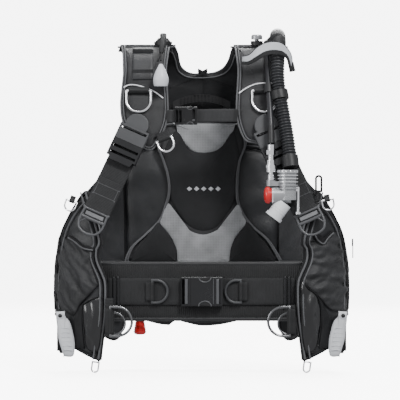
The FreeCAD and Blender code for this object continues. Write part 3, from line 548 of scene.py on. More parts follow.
def shoulder_skin(p: Array, q: Array, rise: Array) -> Array:
    """Over the shoulder: q is the length from the top, forwards positive, round the arch and then straight.

    The arch is a circle of ARCH_R; in front it ends in a straight fall leaned by LEAN, behind in a plumb one.
    """
    quarter = ARCH_R * math.pi / 2
    turn = np.clip(q, -quarter, quarter) / ARCH_R
    over = np.abs(q) - quarter
    past = np.maximum(over, 0.0)
    lean = np.where(q > 0, LEAN, 0.0) * np.clip(past / 12.0, 0, 1)
    radius = ARCH_R + rise
    y = ARCH_Y - radius * np.sin(turn) - np.where(q > 0, past * np.sin(lean), 0.0)
    z = ARCH_Z + radius * np.cos(turn) - past * np.cos(lean)
    return np.stack([p, y, z], axis=-1)


def lobe_skin(side: float) -> Skin:
    """Round a side lobe: p is the angle from straight back, over the side, to straight front, in degrees."""
    def at(p: Array, q: Array, rise: Array) -> Array:
        """Points of the ellipse grown by the rise, at height q."""
        angle = np.radians(90.0 - p)
        x = side * (LOBE_CX + (LOBE_A + rise) * np.cos(angle))
        y = LOBE_CY + (LOBE_B + rise) * np.sin(angle)
        return np.stack([x, y, q + 0 * x], axis=-1)
    return at


def lobe_angle(x: Array | float) -> Array:
    """The front-half angle of a lobe at a distance x from the middle plane, in degrees.

    Args:
        x: distance in mm, either side.

    Returns:
        The angle, 90 at the lobe's widest line and 180 straight in front.
    """
    return 90.0 + np.degrees(np.arccos(np.clip((np.abs(x) - LOBE_CX) / LOBE_A, -1, 1)))


Relief = Callable[[Array, Array], Array]


def pillow(name: str, skin: Skin, outline: Sequence[Sequence[float]], thick: float, crown: float, look: str,
           centre: tuple[float, float] | None = None, rings: int = 22, count: int = 180,
           relief: Relief | None = None, base: float = 0.0, edge: float = 6.0) -> bpy.types.Object:
    """A padded panel on a skin, from its outline.

    A point is centre + r (edge point - centre). Its front stands off the skin by base plus
    thick sqrt(1 - r^edge) plus crown (1 - r^2) plus the relief; its back lies at base.

    Args:
        name: the piece's name.
        skin: where a plan point and its rise lie in space.
        outline: given points of the closed edge, in plan.
        thick: thickness at the edge's inside, mm.
        crown: extra thickness in the middle, mm.
        look: the finish's name.
        centre: the plan point that the panel is drawn from.
        rings: rows from the centre to the edge.
        count: points round the edge.
        relief: extra rise at a plan point.
        base: how far the panel's back stands off the skin, mm.
        edge: how square the edge is.

    Returns:
        The closed piece.
    """
    rim = smooth_line(outline, count, closed=True)
    middle = np.array(centre if centre else rim.mean(axis=0))
    r = np.sin(np.linspace(0.04, 1.0, rings) * math.pi / 2)
    plan = middle + r[:, None, None] * (rim[None] - middle)
    rise = base + thick * np.sqrt(np.maximum(1 - r ** edge, 0)) + crown * (1 - r ** 2)
    rise = np.repeat(rise[:, None], count, axis=1)
    if relief is not None:
        rise = rise + relief(plan[..., 0], plan[..., 1]) * (1 - r ** 10)[:, None]
    back_r = r[::-1][1:]
    back = middle + back_r[:, None, None] * (rim[None] - middle)
    plan_all = np.concatenate([plan, back])
    rise_all = np.concatenate([rise, np.full((len(back_r), count), base)])
    p, q = plan_all[..., 0].ravel(), plan_all[..., 1].ravel()
    points = skin(p, q, rise_all.ravel())
    poles_plan = np.array([middle, middle])
    pole_rise = np.array([rise[0].mean(), base])
    points = np.vstack([points, skin(poles_plan[:, 0], poles_plan[:, 1], pole_rise)])
    cloth = np.vstack([np.stack([p, q], axis=1), poles_plan])
    rows = len(plan_all)
    return add_mesh(name, points, grid_quads(rows, count, True), cloth, look, end_fans(rows, count))


def sweep(name: str, path: Array, profile: Array, across: Array, look: str, closed: bool = False,
          scale: Array | None = None) -> bpy.types.Object:
    """A closed profile carried along a path, its first axis along 'across' and its second square to the path.

    Args:
        name: the piece's name.
        path: points in mm, shape (n, 3).
        profile: the section's points in mm, shape (m, 2).
        across: direction of the section's first axis, one for all or one for each point.
        look: the finish's name.
        closed: whether the path is a loop.
        scale: the section's size at each point, one number or two for the two axes.

    Returns:
        The piece, its ends closed with fans.
    """
    n, m = len(path), len(profile)
    if closed:
        tangent = unit(np.roll(path, -1, axis=0) - np.roll(path, 1, axis=0))
    else:
        tangent = unit(np.gradient(path, axis=0))
    side = np.broadcast_to(np.asarray(across, dtype=float), (n, 3))
    side = unit(side - tangent * np.sum(side * tangent, axis=1, keepdims=True))
    up = np.cross(tangent, side)
    size = np.ones((n, 2))
    if scale is not None:
        size = np.asarray(scale, dtype=float).reshape(n, -1) * size
    points = (path[:, None] + side[:, None] * (profile[None, :, :1] * size[:, None, :1])
              + up[:, None] * (profile[None, :, 1:] * size[:, None, 1:]))
    length = run(path)
    girth = np.concatenate([[0.0], np.cumsum(np.linalg.norm(np.diff(profile, axis=0), axis=1))])
    cloth = np.stack(np.broadcast_arrays(length[:, None], girth[None, :]), axis=-1).reshape(-1, 2)
    quads = grid_quads(n, m, True)
    points = points.reshape(-1, 3)
    if closed:
        c = np.arange(m)
        a, b = (n - 1) * m + c, (n - 1) * m + (c + 1) % m
        quads = np.vstack([quads, np.stack([a, b, (c + 1) % m, c], axis=1)])
        return add_mesh(name, points, quads, cloth, look)
    points = np.vstack([points, path[:1], path[-1:]])
    cloth = np.vstack([cloth, [[0, 0], [length[-1], 0]]])
    return add_mesh(name, points, quads, cloth, look, end_fans(n, m))


def round_section(radius: float, sides: int = 10) -> Array:
    """A circle's points.

    Args:
        radius: in mm.
        sides: how many points.

    Returns:
        The points, shape (sides, 2).
    """
    a = np.linspace(0, 2 * math.pi, sides, endpoint=False)
    return radius * np.stack([np.cos(a), np.sin(a)], axis=1)


def strap_section(width: float, thick: float, count: int = 9) -> Array:
    """A flat strap's section: a thin box with round edges, a few points across each face.

    Args:
        width: across the strap, mm.
        thick: through it, mm.
        count: points across each face.

    Returns:
        The section's points, shape (n, 2).
    """
    across = np.linspace(-width / 2 + thick / 2, width / 2 - thick / 2, count)
    face = np.stack([across, np.full(count, thick / 2)], axis=1)
    tip = np.array([[width / 2, thick * 0.2], [width / 2, -thick * 0.2]])
    return np.vstack([face, tip, -face, -tip])


def tube(name: str, path: Array, radius: float, look: str, closed: bool = False,
         across: Point = (0.0, 1.0, 0.0), sides: int = 10, scale: Array | None = None) -> bpy.types.Object:
    """A round tube along a path.

    Args:
        name: the piece's name.
        path: points in mm, shape (n, 3).
        radius: in mm.
        look: the finish's name.
        closed: whether the path is a loop.
        across: direction of the section's first axis.
        sides: points round the tube.
        scale: the radius's factor at each point.

    Returns:
        The piece.
    """
    return sweep(name, path, round_section(radius, sides), np.array(across), look, closed, scale)


def edge_piping(name: str, skin: Skin, line: Array, rise: float, radius: float, look: str,
                closed: bool = False, across: Point = (0.0, 1.0, 0.0)) -> bpy.types.Object:
    """A round welt along a plan line, standing off a skin.

    Args:
        name: the piece's name.
        skin: where plan points lie in space.
        line: plan points, shape (n, 2).
        rise: how far the welt's middle stands off, mm.
        radius: nominal radius, of which 0.72 is drawn, mm.
        look: the finish's name.
        closed: whether the line is a loop.
        across: direction of the section's first axis.

    Returns:
        The piece.
    """
    path = skin(line[:, 0], line[:, 1], np.full(len(line), rise))
    return tube(name, path, radius * 0.72, look, closed, across)


def ribbon(name: str, path: Array, across: Any, width: float, thick: float, look: str,
           scale: Array | None = None) -> bpy.types.Object:
    """A flat strap along a path, 'across' giving its width's direction.

    Args:
        name: the piece's name.
        path: points in mm, shape (n, 3).
        across: one direction, or one for each point.
        width: of the strap, mm.
        thick: of the strap, mm.
        look: the finish's name.
        scale: the section's factor at each point.

    Returns:
        The piece.
    """
    return sweep(name, path, strap_section(width, thick), np.asarray(across, dtype=float), look, False, scale)


def web_between(name: str, lower: Array, upper: Array, share: tuple[float, float], thick: float,
                look: str) -> bpy.types.Object:
    """A closed thin shell that spans a share of the way from one line to another.

    Each point is lower + t (upper - lower) + h normal, where (t, h) goes round a flat strap's section.

    Args:
        name: the piece's name.
        lower: the first line's points in mm, shape (n, 3).
        upper: the second line's, as many.
        share: where the shell starts and ends on the way from lower to upper.
        thick: its thickness, mm.
        look: the finish's name.

    Returns:
        The piece.
    """
    section = strap_section(1.0, 0.02, 13) * np.array([1.0, 50.0 * thick])
    t = share[0] + (section[:, 0] + 0.5) * (share[1] - share[0])
    span = upper - lower
    normal = unit(np.cross(span, np.gradient(lower, axis=0)))
    points = lower[:, None] + t[None, :, None] * span[:, None] + section[None, :, 1:] * normal[:, None]
    n, m = points.shape[:2]
    length, width = run(lower), np.linalg.norm(span, axis=1).mean()
    cloth = np.stack(np.broadcast_arrays(length[:, None], t[None, :] * width), axis=-1).reshape(-1, 2)
    ends = points[[0, -1]].mean(axis=1)
    return add_mesh(name, np.vstack([points.reshape(-1, 3), ends]), grid_quads(n, m, True),
                    np.vstack([cloth, [[0, 0], [length[-1], 0]]]), look, end_fans(n, m))


def lathe(name: str, base: Point, axis: Point, profile: Sequence[tuple[float, float]], look: str,
          sides: int = 40, sharp: bool = False) -> bpy.types.Object:
    """A turned piece: (distance along the axis, radius) pairs spun about it and closed at both ends.

    Each point is base + h axis + r (side cos a + up sin a).

    Args:
        name: the piece's name.
        base: where the axis starts, mm.
        axis: its direction.
        profile: the pairs, mm.
        look: the finish's name.
        sides: points round the axis.
        sharp: whether every face stays flat.

    Returns:
        The piece.
    """
    h = np.array([p[0] for p in profile], dtype=float)
    r = np.array([max(p[1], 0.01) for p in profile], dtype=float)
    way = unit(np.array([axis], dtype=float))[0]
    helper = np.array([0.0, 0.0, 1.0]) if abs(way[2]) < 0.9 else np.array([1.0, 0.0, 0.0])
    side = unit(np.cross(way, helper)[None])[0]
    up = np.cross(way, side)
    a = np.linspace(0, 2 * math.pi, sides, endpoint=False)
    spun = (np.array(base) + h[:, None, None] * way
            + r[:, None, None] * (np.cos(a)[None, :, None] * side + np.sin(a)[None, :, None] * up))
    points = np.vstack([spun.reshape(-1, 3), [np.array(base) + h[0] * way, np.array(base) + h[-1] * way]])
    cloth = np.stack(np.broadcast_arrays(h[:, None], a[None, :] * 10), axis=-1).reshape(-1, 2)
    cloth = np.vstack([cloth, [[0, 0], [0, 0]]])
    rows = len(profile)
    made = add_mesh(name, points, grid_quads(rows, sides, True), cloth, look, end_fans(rows, sides),
                    not sharp)
    if not sharp:
        made.data.set_sharp_from_angle(angle=EDGE_ANGLE)
    return made


def creases(seed: int, count: int, span: float, height: float, lean: float) -> Relief:
    """Soft folds: a sum of waves whose directions gather round 'lean' degrees, with seeded phases.

    Args:
        seed: of the random draws.
        count: how many waves.
        span: usual wave length, mm.
        height: of the folds, mm.
        lean: their direction, degrees.

    Returns:
        The rise at plan points.
    """
    rng = np.random.default_rng(seed)
    way = np.radians(lean + rng.normal(0, 22, count))
    wave = 2 * math.pi / (span * rng.uniform(0.6, 1.7, count))
    phase = rng.uniform(0, 2 * math.pi, count)
    size = height * rng.uniform(0.4, 1.0, count) / math.sqrt(count)

    def at(p: Array, q: Array) -> Array:
        """The waves' sum at plan points."""
        along = p[..., None] * np.cos(way) + q[..., None] * np.sin(way)
        waves = np.sin(along * wave + phase + 0.8 * np.sin(q[..., None] * wave * 0.35 + phase * 2))
        return (np.sign(waves) * np.abs(waves) ** 1.3 * size).sum(axis=-1)
    return at


def ride_on(pieces: Any, body: str = "vest") -> None:
    """Rides pieces on a body.

    Args:
        pieces: one piece or a list.
        body: the body that carries them.
    """
    for piece in pieces if isinstance(pieces, (list, tuple)) else [pieces]:
        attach(piece, body)


# ---- the back: yoke, bladder, back pad ------------------------------------------------------------
@dataclass
class Back:
    """The flat back: bladder, quilted back pad with its mesh insets, and the yoke behind the neck."""

    pad_edge: list[tuple[float, float]] = field(default_factory=lambda: [
        (-82, 146), (-73, 122), (-64, 92), (-62, 62), (-68, 37), (-79, 9), (-105, -18), (-132, -43),
        (-143, -66), (-143, -74), (-143, -74), (150, -74), (150, -74), (150, -68), (127, -31), (99, -6),
        (80, 18), (69, 46), (68, 83), (72, 120), (84, 157), (72, 190), (64, 195), (0, 196), (-62, 195),
        (-72, 188), (-80, 166)])
    shield: list[tuple[float, float]] = field(default_factory=lambda: [
        (-46, 176), (-66, 148), (-69, 120), (-60, 90), (-58, 62), (-55, 42), (-42, 18), (-22, -5),
        (3, -13), (28, -5), (48, 18), (60, 42), (64, 62), (64, 90), (70, 120), (68, 148), (60, 176),
        (52, 166), (38, 148), (22, 139), (3, 136), (-16, 139), (-31, 149)])
    upper_mesh: list[tuple[float, float]] = field(default_factory=lambda: [
        (-48, 190), (64, 190), (64, 190), (58, 172), (46, 152), (30, 139), (6, 134), (-14, 137), (-30, 148),
        (-44, 168), (-48, 190)])
    lower_mesh: list[tuple[float, float]] = field(default_factory=lambda: [
        (-62, 40), (-48, 12), (-24, -10), (3, -19), (30, -10), (54, 12), (68, 38), (78, 18), (84, 3),
        (72, -14), (61, -30), (55, -48), (53, -72), (53, -72), (-46, -72), (-46, -72), (-47, -50),
        (-54, -31), (-65, -14), (-78, 2), (-75, 14)])

    def build(self) -> None:
        """Builds and dresses every piece of the back."""
        front = flat_skin(PAD_REAR - 0.5)
        weave = creases(11, 6, 70.0, 0.8, 80.0)
        pad = pillow("back_pad_body", front, self.pad_edge, 9.5, 1.5, "nylon_mid", (3, 0), relief=weave)
        upper = pillow("back_pad_upper_mesh", front, self.upper_mesh, 4.5, 0.5, "air_mesh", (6, 166),
                       base=10.6, rings=12, count=120, relief=creases(3, 5, 30.0, 0.5, 60.0))
        lower = pillow("back_pad_lower_mesh", front, self.lower_mesh, 3.0, 0.8, "air_mesh", (3, -45),
                       base=10.8, rings=16, count=170, relief=creases(5, 6, 34.0, 0.35, 88.0))
        shield = pillow("back_pad_shield", front, self.shield, 5.5, 1.6, "pad_knit", (3, 88),
                        base=9.6, rings=22, count=190, edge=8.0, relief=creases(7, 4, 60.0, 0.4, 70.0))
        wings = []
        for name, s in SIDES:
            wing = [(s * 80, 3), (s * 68, -12), (s * 57, -28), (s * 49, -46), (s * 46, -72),
                    (s * 46, -72), (s * 134, -72), (s * 134, -72), (s * 128, -54), (s * 110, -32),
                    (s * 95, -12), (s * 86, 0)]
            if s > 0:
                wing = [(px + 6, pz) for px, pz in wing]
            wings.append(pillow("back_pad_wing_" + name, front, wing, 5.0, 3.5, "pad_knit", (s * 82, -44),
                                base=10.6, rings=16, count=120,
                                relief=creases(17 - int(s), 4, 46.0, 0.2, 60.0)))
        rim = smooth_line(self.pad_edge, 300, closed=True)
        inner = rim.mean(axis=0) + (rim - rim.mean(axis=0)) * 0.966
        welts = [edge_piping("back_pad_piping_outer", front, rim, 8.0, 2.6, "piping", True),
                 edge_piping("back_pad_piping_inner", front, inner, 10.2, 1.9, "piping", True)]
        seam = smooth_line(self.shield, 240, closed=True)
        welts.append(edge_piping("back_pad_shield_seam", front, seam, 9.8, 0.9, "piping_dark", True))
        pieces = [pad, upper, lower, shield, *wings]
        ride_on(pieces + welts)
        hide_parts("back_pad")
        self.emblem(front)
        self.bladder()
        self.yoke()

    def emblem(self, front: Skin) -> None:
        """A plain printed row of lozenges across the shield."""
        marks = []
        for k in range(5):
            x = 4.0 + (k - 2) * 13.5
            diamond = [(x - 5.2, 67), (x - 5.2, 67), (x, 71.5), (x, 71.5), (x + 5.2, 67), (x + 5.2, 67),
                       (x, 62.5), (x, 62.5)]
            marks.append(pillow("shield_print_%d" % k, front, diamond, 0.5, 0.0, "silver_cloth", (x, 67),
                                base=16.9, rings=4, count=32))
        ride_on(marks)

    def bladder(self) -> None:
        """The rear air cell: a full panel front and back with a scalloped, piped hem."""
        edge = [(-150, -150), (-138, -172), (-100, -182), (-80, -187), (-62, -189), (-62, -189), (-48, -180),
                (-30, -184), (0, -190), (40, -187), (86, -176), (86, -176), (110, -178), (140, -170),
                (150, -150), (151, 0), (150, 100), (122, 140), (80, 150), (0, 151), (-80, 150), (-122, 140),
                (-150, 100), (-151, 0)]
        skin = flat_skin(-104.5)
        folds = creases(23, 9, 60.0, 1.6, 85.0)
        body = pillow("rear_air_cell", skin, edge, 15.0, 3.0, "nylon_satin", (0, -20), rings=30, count=260,
                      relief=folds, edge=10.0)
        rim = smooth_line(edge, 300, closed=True)
        welts = [edge_piping("rear_cell_piping", skin, rim, 13.0, 2.4, "piping", True),
                 edge_piping("rear_cell_welt", skin, rim * 0.985, 16.0, 1.6, "piping_dark", True)]
        ride_on([body] + welts)
        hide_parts("rear_bladder")

    def yoke(self) -> None:
        """Behind the neck and up to both shoulder tops, in arch lengths: negative is behind."""
        quarter = ARCH_R * math.pi / 2

        def drop(z: float) -> float:
            """Length back from the shoulder's top to height z."""
            if z >= ARCH_Z:
                return -ARCH_R * math.acos(min((z - ARCH_Z) / ARCH_R, 1.0))
            return -(quarter + ARCH_Z - z)

        low = drop(141.0)
        neck = [(68, drop(342)), (58, drop(333)), (52, drop(314.5)), (42, drop(298)), (27, drop(289)),
                (10, drop(286)), (-6, drop(285.5)), (-18, drop(286)), (-30.5, drop(291)), (-40.5, drop(303)),
                (-45, drop(324)), (-52, drop(340))]
        folds = creases(31, 8, 52.0, 1.3, 70.0)
        halves = []
        for name, side, inner in (("right", 1, neck[:7]), ("left", -1, neck[:4:-1])):
            far = 150.5 * side + 1.5
            edge = [(inner[-1][0], low), (inner[-1][0], low), (far, low), (far, low), (far, drop(262)),
                    (far, drop(320)), (far - 4 * side, -6), (inner[0][0] + 4 * side, -6), (inner[0][0], -10)]
            edge += list(inner[1:]) + [inner[-1]]
            halves.append(self.draped("neck_yoke_" + name, edge, (95 * side, drop(240)), folds))
        rim = smooth_line([(68, -0.5)] + neck + [(-52, -0.5)], 140)
        spread = np.sign(rim[:, 0]) * 5.5 * (np.abs(rim[:, 0]) / 55)
        inset = rim + np.stack([spread, -6.0 + 0 * rim[:, 0]], axis=1)
        welts = [edge_piping("neck_piping_outer", shoulder_skin, rim, -4.0, 2.4, "piping"),
                 edge_piping("neck_piping_inner", shoulder_skin, inset, -13.0, 1.8, "piping")]
        ride_on(halves + welts)
        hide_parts("neck_yoke")

    @staticmethod
    def draped(name: str, edge: list[tuple[float, float]], centre: tuple[float, float],
               folds: Relief) -> bpy.types.Object:
        """The yoke's own panel; its soft face is the inner one, towards the neck."""
        def skin(p: Array, q: Array, rise: Array) -> Array:
            """The shoulder's surface, thickened inwards."""
            return shoulder_skin(p, q, -rise)
        return pillow(name, skin, edge, 12.5, 1.0, "nylon_dark", centre, rings=34, count=300, relief=folds,
                      edge=14.0)


# ---- shoulder pads --------------------------------------------------------------------------------
@dataclass
class ShoulderPads:
    """The two front shoulder pads with their piping and patches."""

    outer: tuple[float, float] = (149.0, 153.0)
    inner: tuple[float, float] = (62.0, 64.0)
    tips: tuple[tuple[float, float], tuple[float, float]] = ((97.0, 139.0), (105.0, 150.0))

    @staticmethod
    def length(z: float) -> float:
        """Length forwards from the shoulder's top to height z."""
        if z >= ARCH_Z:
            return ARCH_R * math.acos(min((z - ARCH_Z) / ARCH_R, 1.0))
        return ARCH_R * math.pi / 2 + (ARCH_Z - z) / math.cos(LEAN)

    def edge(self, k: int, side: float) -> list[tuple[float, float]]:
        """The pad's outline in width and arch length."""
        o, i = self.outer[k], self.inner[k]
        tx, tz = self.tips[k]
        at = self.length
        return [(side * x, q) for x, q in [
            (i - 2, 0.5), (i - 2, 0.5), (o, 0.5), (o, 0.5), (o - 5, at(300)), (o - 5, at(280)),
            (o - 1, at(240)), (o, at(222)), (o - 2, at(200)), (o - 8, at(183)), (tx + 20, at(tz + 14)),
            (tx + 4, at(tz + 1)),
            (tx - 8, at(tz + 2)), (i + 17, at(157)), (i + 6, at(180)), (i + 1, at(205)), (i + 1, at(230)),
            (i + 3, at(262)), (i + 4, at(290)), (i + 1, at(318))]]

    def build(self) -> None:
        """Builds both pads."""
        shown = []
        for k, (name, side) in enumerate(SIDES):
            def skin(p: Array, q: Array, rise: Array) -> Array:
                """The shoulder's surface, from the pad's inner face."""
                return shoulder_skin(p, q, rise - SHOULDER_T)
            edge = self.edge(k, side)
            middle = (side * (self.outer[k] + self.inner[k]) / 2, self.length(240))
            body = pillow("shoulder_pad_" + name, skin, edge, 10.5, 2.0, "nylon_mid", middle, rings=30,
                          count=260, relief=creases(41 + k, 7, 48.0, 0.9, 85.0), edge=9.0)
            rim = smooth_line(edge, 300, closed=True)
            mid = np.array(middle)
            across = (1, 0, 0.3)
            outer = edge_piping("pad_piping_outer_" + name, skin, rim, 9.0, 2.5, "piping", True, across)
            inset = mid + (rim - mid) * np.array([0.90, 0.962])
            inner = edge_piping("pad_piping_inner_" + name, skin, inset, 12.2, 1.8, "piping", True, across)
            shown += [body, outer, inner, *self.trims(name, side, skin)]
        ride_on(shown)
        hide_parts("shoulder_pads")

    def trims(self, name: str, side: float, skin: Skin) -> list[bpy.types.Object]:
        """The reflective arc above the ring, and on the left the strip with its two bars."""
        at = self.length
        if side < 0:
            arc = [(-144, at(254)), (-134, at(258.5)), (-120, at(258)), (-100, at(252)), (-84, at(244)),
                   (-71, at(234))]
        else:
            arc = [(69, at(243)), (80, at(251)), (96, at(259)), (114, at(262)), (134, at(262)),
                   (146, at(258))]
        line = smooth_line(arc, 60)
        made = [edge_piping("reflective_arc_" + name, skin, line, 13.6, 1.7, "silver_piping")]
        if side < 0:
            strip = np.array([(-109, at(z)) for z in np.linspace(330, 268, 26)])
            path = skin(strip[:, 0], strip[:, 1], np.full(26, 13.2))
            made.append(ribbon("pad_patch", path, (1, 0, 0), 38.0, 1.2, "nylon_satin"))
            for n, z in enumerate((321.0, 283.0)):
                bar = np.array([(px, at(z)) for px in np.linspace(-128, -90, 10)])
                path = skin(bar[:, 0], bar[:, 1], np.full(10, 14.6))
                made.append(ribbon("pad_bar_%d" % n, path, (0, 0.4, -1), 10.0, 1.4, "webbing_pale"))
        return made


# ---- side lobes -----------------------------------------------------------------------------------
ARC_MM = 2.05            # a lobe's plan coordinate: millimetres for each degree round it


def lobe_plan(side: float) -> Skin:
    """A side lobe's skin, its first coordinate in millimetres round from the back."""
    wall = lobe_skin(side)

    def at(p: Array, q: Array, rise: Array) -> Array:
        """The wall's points."""
        return wall(p / ARC_MM, q, rise)
    return at


def on_front(points: Sequence[tuple[float, float]]) -> list[tuple[float, float]]:
    """Front-view (distance from the middle, height) points as a lobe's plan points.

    Args:
        points: pairs in mm.

    Returns:
        Plan points on the lobe's front half.
    """
    return [(float(lobe_angle(x)) * ARC_MM, z) for x, z in points]


def on_rear(points: Sequence[tuple[float, float]]) -> list[tuple[float, float]]:
    """The same for the half of the lobe behind its widest line."""
    return [((180.0 - float(lobe_angle(x))) * ARC_MM, z) for x, z in points]


@dataclass
class Lobe:
    """One side lobe: air cell, pocket panel, piped edges, gusset, zip and webbing column."""

    name: str
    side: float

    def build(self) -> None:
        """Builds and dresses the lobe."""
        s, skin = self.side, lobe_plan(self.side)
        front_edge = [(214, 60), (203, 24), (189, -28), (194, -46), (193, -66), (182, -92), (177.5, -107),
                      (177, -139), (179, -176), (185, -212), (190, -246)]
        rim = (on_rear([(150, 122), (172, 108), (197, 82), (232, 42), (256, 0), (272, -50)])
               + [(90 * ARC_MM, -74)] + on_front([(272, -50), (256, 0), (238, 32)])
               + on_front(front_edge) + on_front([(190, -246), (214, -236), (236, -225), (236, -225),
                                                  (240, -196), (242, -172), (262, -168)])
               + [(90 * ARC_MM, -166)] + on_rear([(262, -168), (240, -173), (232, -210), (232, -210),
                                                  (200, -204), (150, -189)]))
        folds = creases(61 if s < 0 else 67, 10, 46.0, 1.5, 75.0)
        cell = pillow("lobe_cell_" + self.name, skin, rim, 18.0, 1.0, "nylon_satin", (92 * ARC_MM, -122),
                      rings=46, count=320, relief=folds, base=-LOBE_T + 0.4, edge=36.0)
        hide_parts("side_lobes")
        pieces = [cell]
        edge = smooth_line(on_front(front_edge), 160)
        out = np.array([-1.0, 0.0])
        pieces += [edge_piping("lobe_piping_a_" + self.name, skin, edge, -2.0, 2.7, "piping"),
                   edge_piping("lobe_piping_b_" + self.name, skin, edge + out * 8.5, 0.6, 2.1, "piping"),
                   edge_piping("lobe_rim_" + self.name, skin, smooth_line(rim, 400, True), -7.0, 5.2,
                               "piping_dark", True)]
        pieces += self.pocket(skin) + self.gusset(skin) + self.outer_line(skin)
        ride_on(pieces)
        self.column()

    def pocket(self, skin: Skin) -> list[bpy.types.Object]:
        """The nylon pocket panel, and a dark slit over its mouth as painted shade of the opening."""
        s = self.side
        if s < 0:
            panel = [(199, -50), (203, -66), (196, -88), (190, -104), (190, -110), (207, -128), (224, -146),
                     (234, -164), (252, -160), (268, -154), (272, -110), (268, -60), (262, -22), (250, -24),
                     (232, -32), (214, -42)]
            mouth = [(243, -23), (232, -30), (216, -42), (198, -46)]
            lean, deep = 28.0, 3.0
        else:
            panel = [(198, -30), (200, -56), (192, -84), (188, -104), (196, -116), (214, -130), (234, -152),
                     (252, -160), (268, -154), (270, -110), (264, -50), (250, -12), (234, -20), (218, -30)]
            mouth = [(240, -14), (230, -24), (222, -34), (212, -28), (205, -16)]
            lean, deep = 88.0, 3.6
        folds = creases(71 if s < 0 else 73, 8, 22.0, deep, lean)
        body = pillow("pocket_panel_" + self.name, skin, on_front(panel), 3.0, 3.0, "nylon_mid",
                      (float(lobe_angle(232)) * ARC_MM, -92), rings=26, count=200, relief=folds, base=-2.0)
        seam = smooth_line(on_front(panel), 200, closed=True)
        lip = smooth_line(on_front(mouth), 60)
        # painted shade: a dark slit laid on the surface stands in for the shadowed opening under the pocket's
        # lip
        slit = on_front([(x, z + 5) for x, z in mouth]) + on_front([(x, z - 3) for x, z in mouth[::-1]])
        dark = pillow("pocket_mouth_" + self.name, skin, slit, 1.6, 0.0, "piping_dark", None, rings=6,
                      count=90, base=1.5)
        return [body, dark,
                edge_piping("pocket_seam_" + self.name, skin, seam, 0.6, 1.3, "piping_dark", True),
                edge_piping("pocket_lip_" + self.name, skin, lip, 3.6, 2.0, "piping")]

    def gusset(self, skin: Skin) -> list[bpy.types.Object]:
        """The glossy lining that shows where the weight pocket hangs open."""
        if self.side < 0:
            edge = [(182, -136), (196, -134), (214, -143), (219, -152), (217, -186), (212, -224), (198, -232),
                    (188, -226), (183, -190)]
            flap = [(219, -148), (226, -150), (235, -168), (237, -200), (234, -223), (222, -226), (216, -224),
                    (219, -186)]
        else:
            edge = [(182, -108), (192, -110), (214, -134), (219, -160), (217, -196), (210, -226), (196, -234),
                    (188, -226), (183, -190)]
            flap = [(219, -140), (228, -152), (237, -172), (237, -200), (234, -223), (222, -226), (216, -224),
                    (220, -186)]
        shine = pillow("gusset_" + self.name, skin, on_front(edge), 1.4, 5.0, "vinyl",
                       rings=18, count=140, base=-1.6, relief=creases(83, 7, 26.0, 2.2, 20.0))
        cover = pillow("pocket_flap_" + self.name, skin, on_front(flap), 2.5, 1.2, "nylon_dark",
                       rings=12, count=110, base=-1.8, relief=creases(89, 5, 20.0, 0.8, 10.0))
        line = smooth_line(on_front(edge), 140, closed=True)
        return [shine, cover,
                edge_piping("gusset_seam_" + self.name, skin, line, 0.4, 1.2, "piping_dark", True)]

    def outer_line(self, skin: Skin) -> list[bpy.types.Object]:
        """The zip and the two welts that run down the lobe's outer line."""
        made = []
        for k, (x_top, rise, look) in enumerate(((250.0, 1.0, "piping"), (259.0, 0.6, "piping_dark"))):
            line = smooth_line(on_front([(x_top - 36, 42), (x_top - 18, 20), (x_top, -16), (x_top + 9, -60),
                                         (x_top + 13, -110), (x_top + 12, -156)]), 120)
            made.append(edge_piping("outer_welt_%d_%s" % (k, self.name), skin, line, rise, 2.1, look))
        zip_line = smooth_line(on_front([(261, -26), (265, -60), (268.5, -100), (268.5, -140)]), 60)
        path = skin(zip_line[:, 0], zip_line[:, 1], np.full(60, 0.7))
        normal = unit(skin(zip_line[:, 0], zip_line[:, 1], np.full(60, 5.0)) - path)
        across = np.cross(unit(np.gradient(path, axis=0)), normal)
        made.append(sweep("zip_tape_" + self.name, path, strap_section(9.0, 1.4), across, "piping_dark"))
        teeth_path = resample(path + normal * 1.3, 45)
        made.append(self.teeth(teeth_path, resample(across, 45), resample(normal, 45)))
        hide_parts("edge_trims")
        return made

    def teeth(self, at: Array, across: Array, normal: Array) -> bpy.types.Object:
        """Zip teeth: one small block at each step, all in one mesh."""
        along = unit(np.gradient(at, axis=0))
        corner = np.array([[a, b, c] for a in (-1, 1) for b in (-1, 1) for c in (-1, 1)], dtype=float)
        size = np.array([0.7, 1.9, 0.9])
        offset = corner * size
        points = (at[:, None] + along[:, None] * offset[None, :, :1] + across[:, None] * offset[None, :, 1:2]
                  + normal[:, None] * offset[None, :, 2:])
        faces = np.array([[0, 1, 3, 2], [4, 6, 7, 5], [0, 4, 5, 1], [2, 3, 7, 6], [0, 2, 6, 4], [1, 5, 7, 3]])
        quads = (faces[None] + 8 * np.arange(len(at))[:, None, None]).reshape(-1, 4)
        cloth = np.zeros((len(at) * 8, 2))
        return add_mesh("zip_teeth_" + self.name, points.reshape(-1, 3), quads, cloth, "buckle_dark",
                        smooth=False)

    def column(self) -> None:
        """The webbing column down the front edge that carries the lower rings."""
        x, top, foot = (-168.0, -134.0, -198.0) if self.side < 0 else (164.0, -146.0, -209.0)
        z = np.linspace(top, foot, 30)
        wave = 0.8 * np.sin(z / 17.0)
        path = np.stack([x + wave, -318.0 + 0.3 * wave, z], axis=1)
        ride_on(ribbon("edge_column_" + self.name, path, (1, 0, 0), 15.0, 2.5, "webbing"))


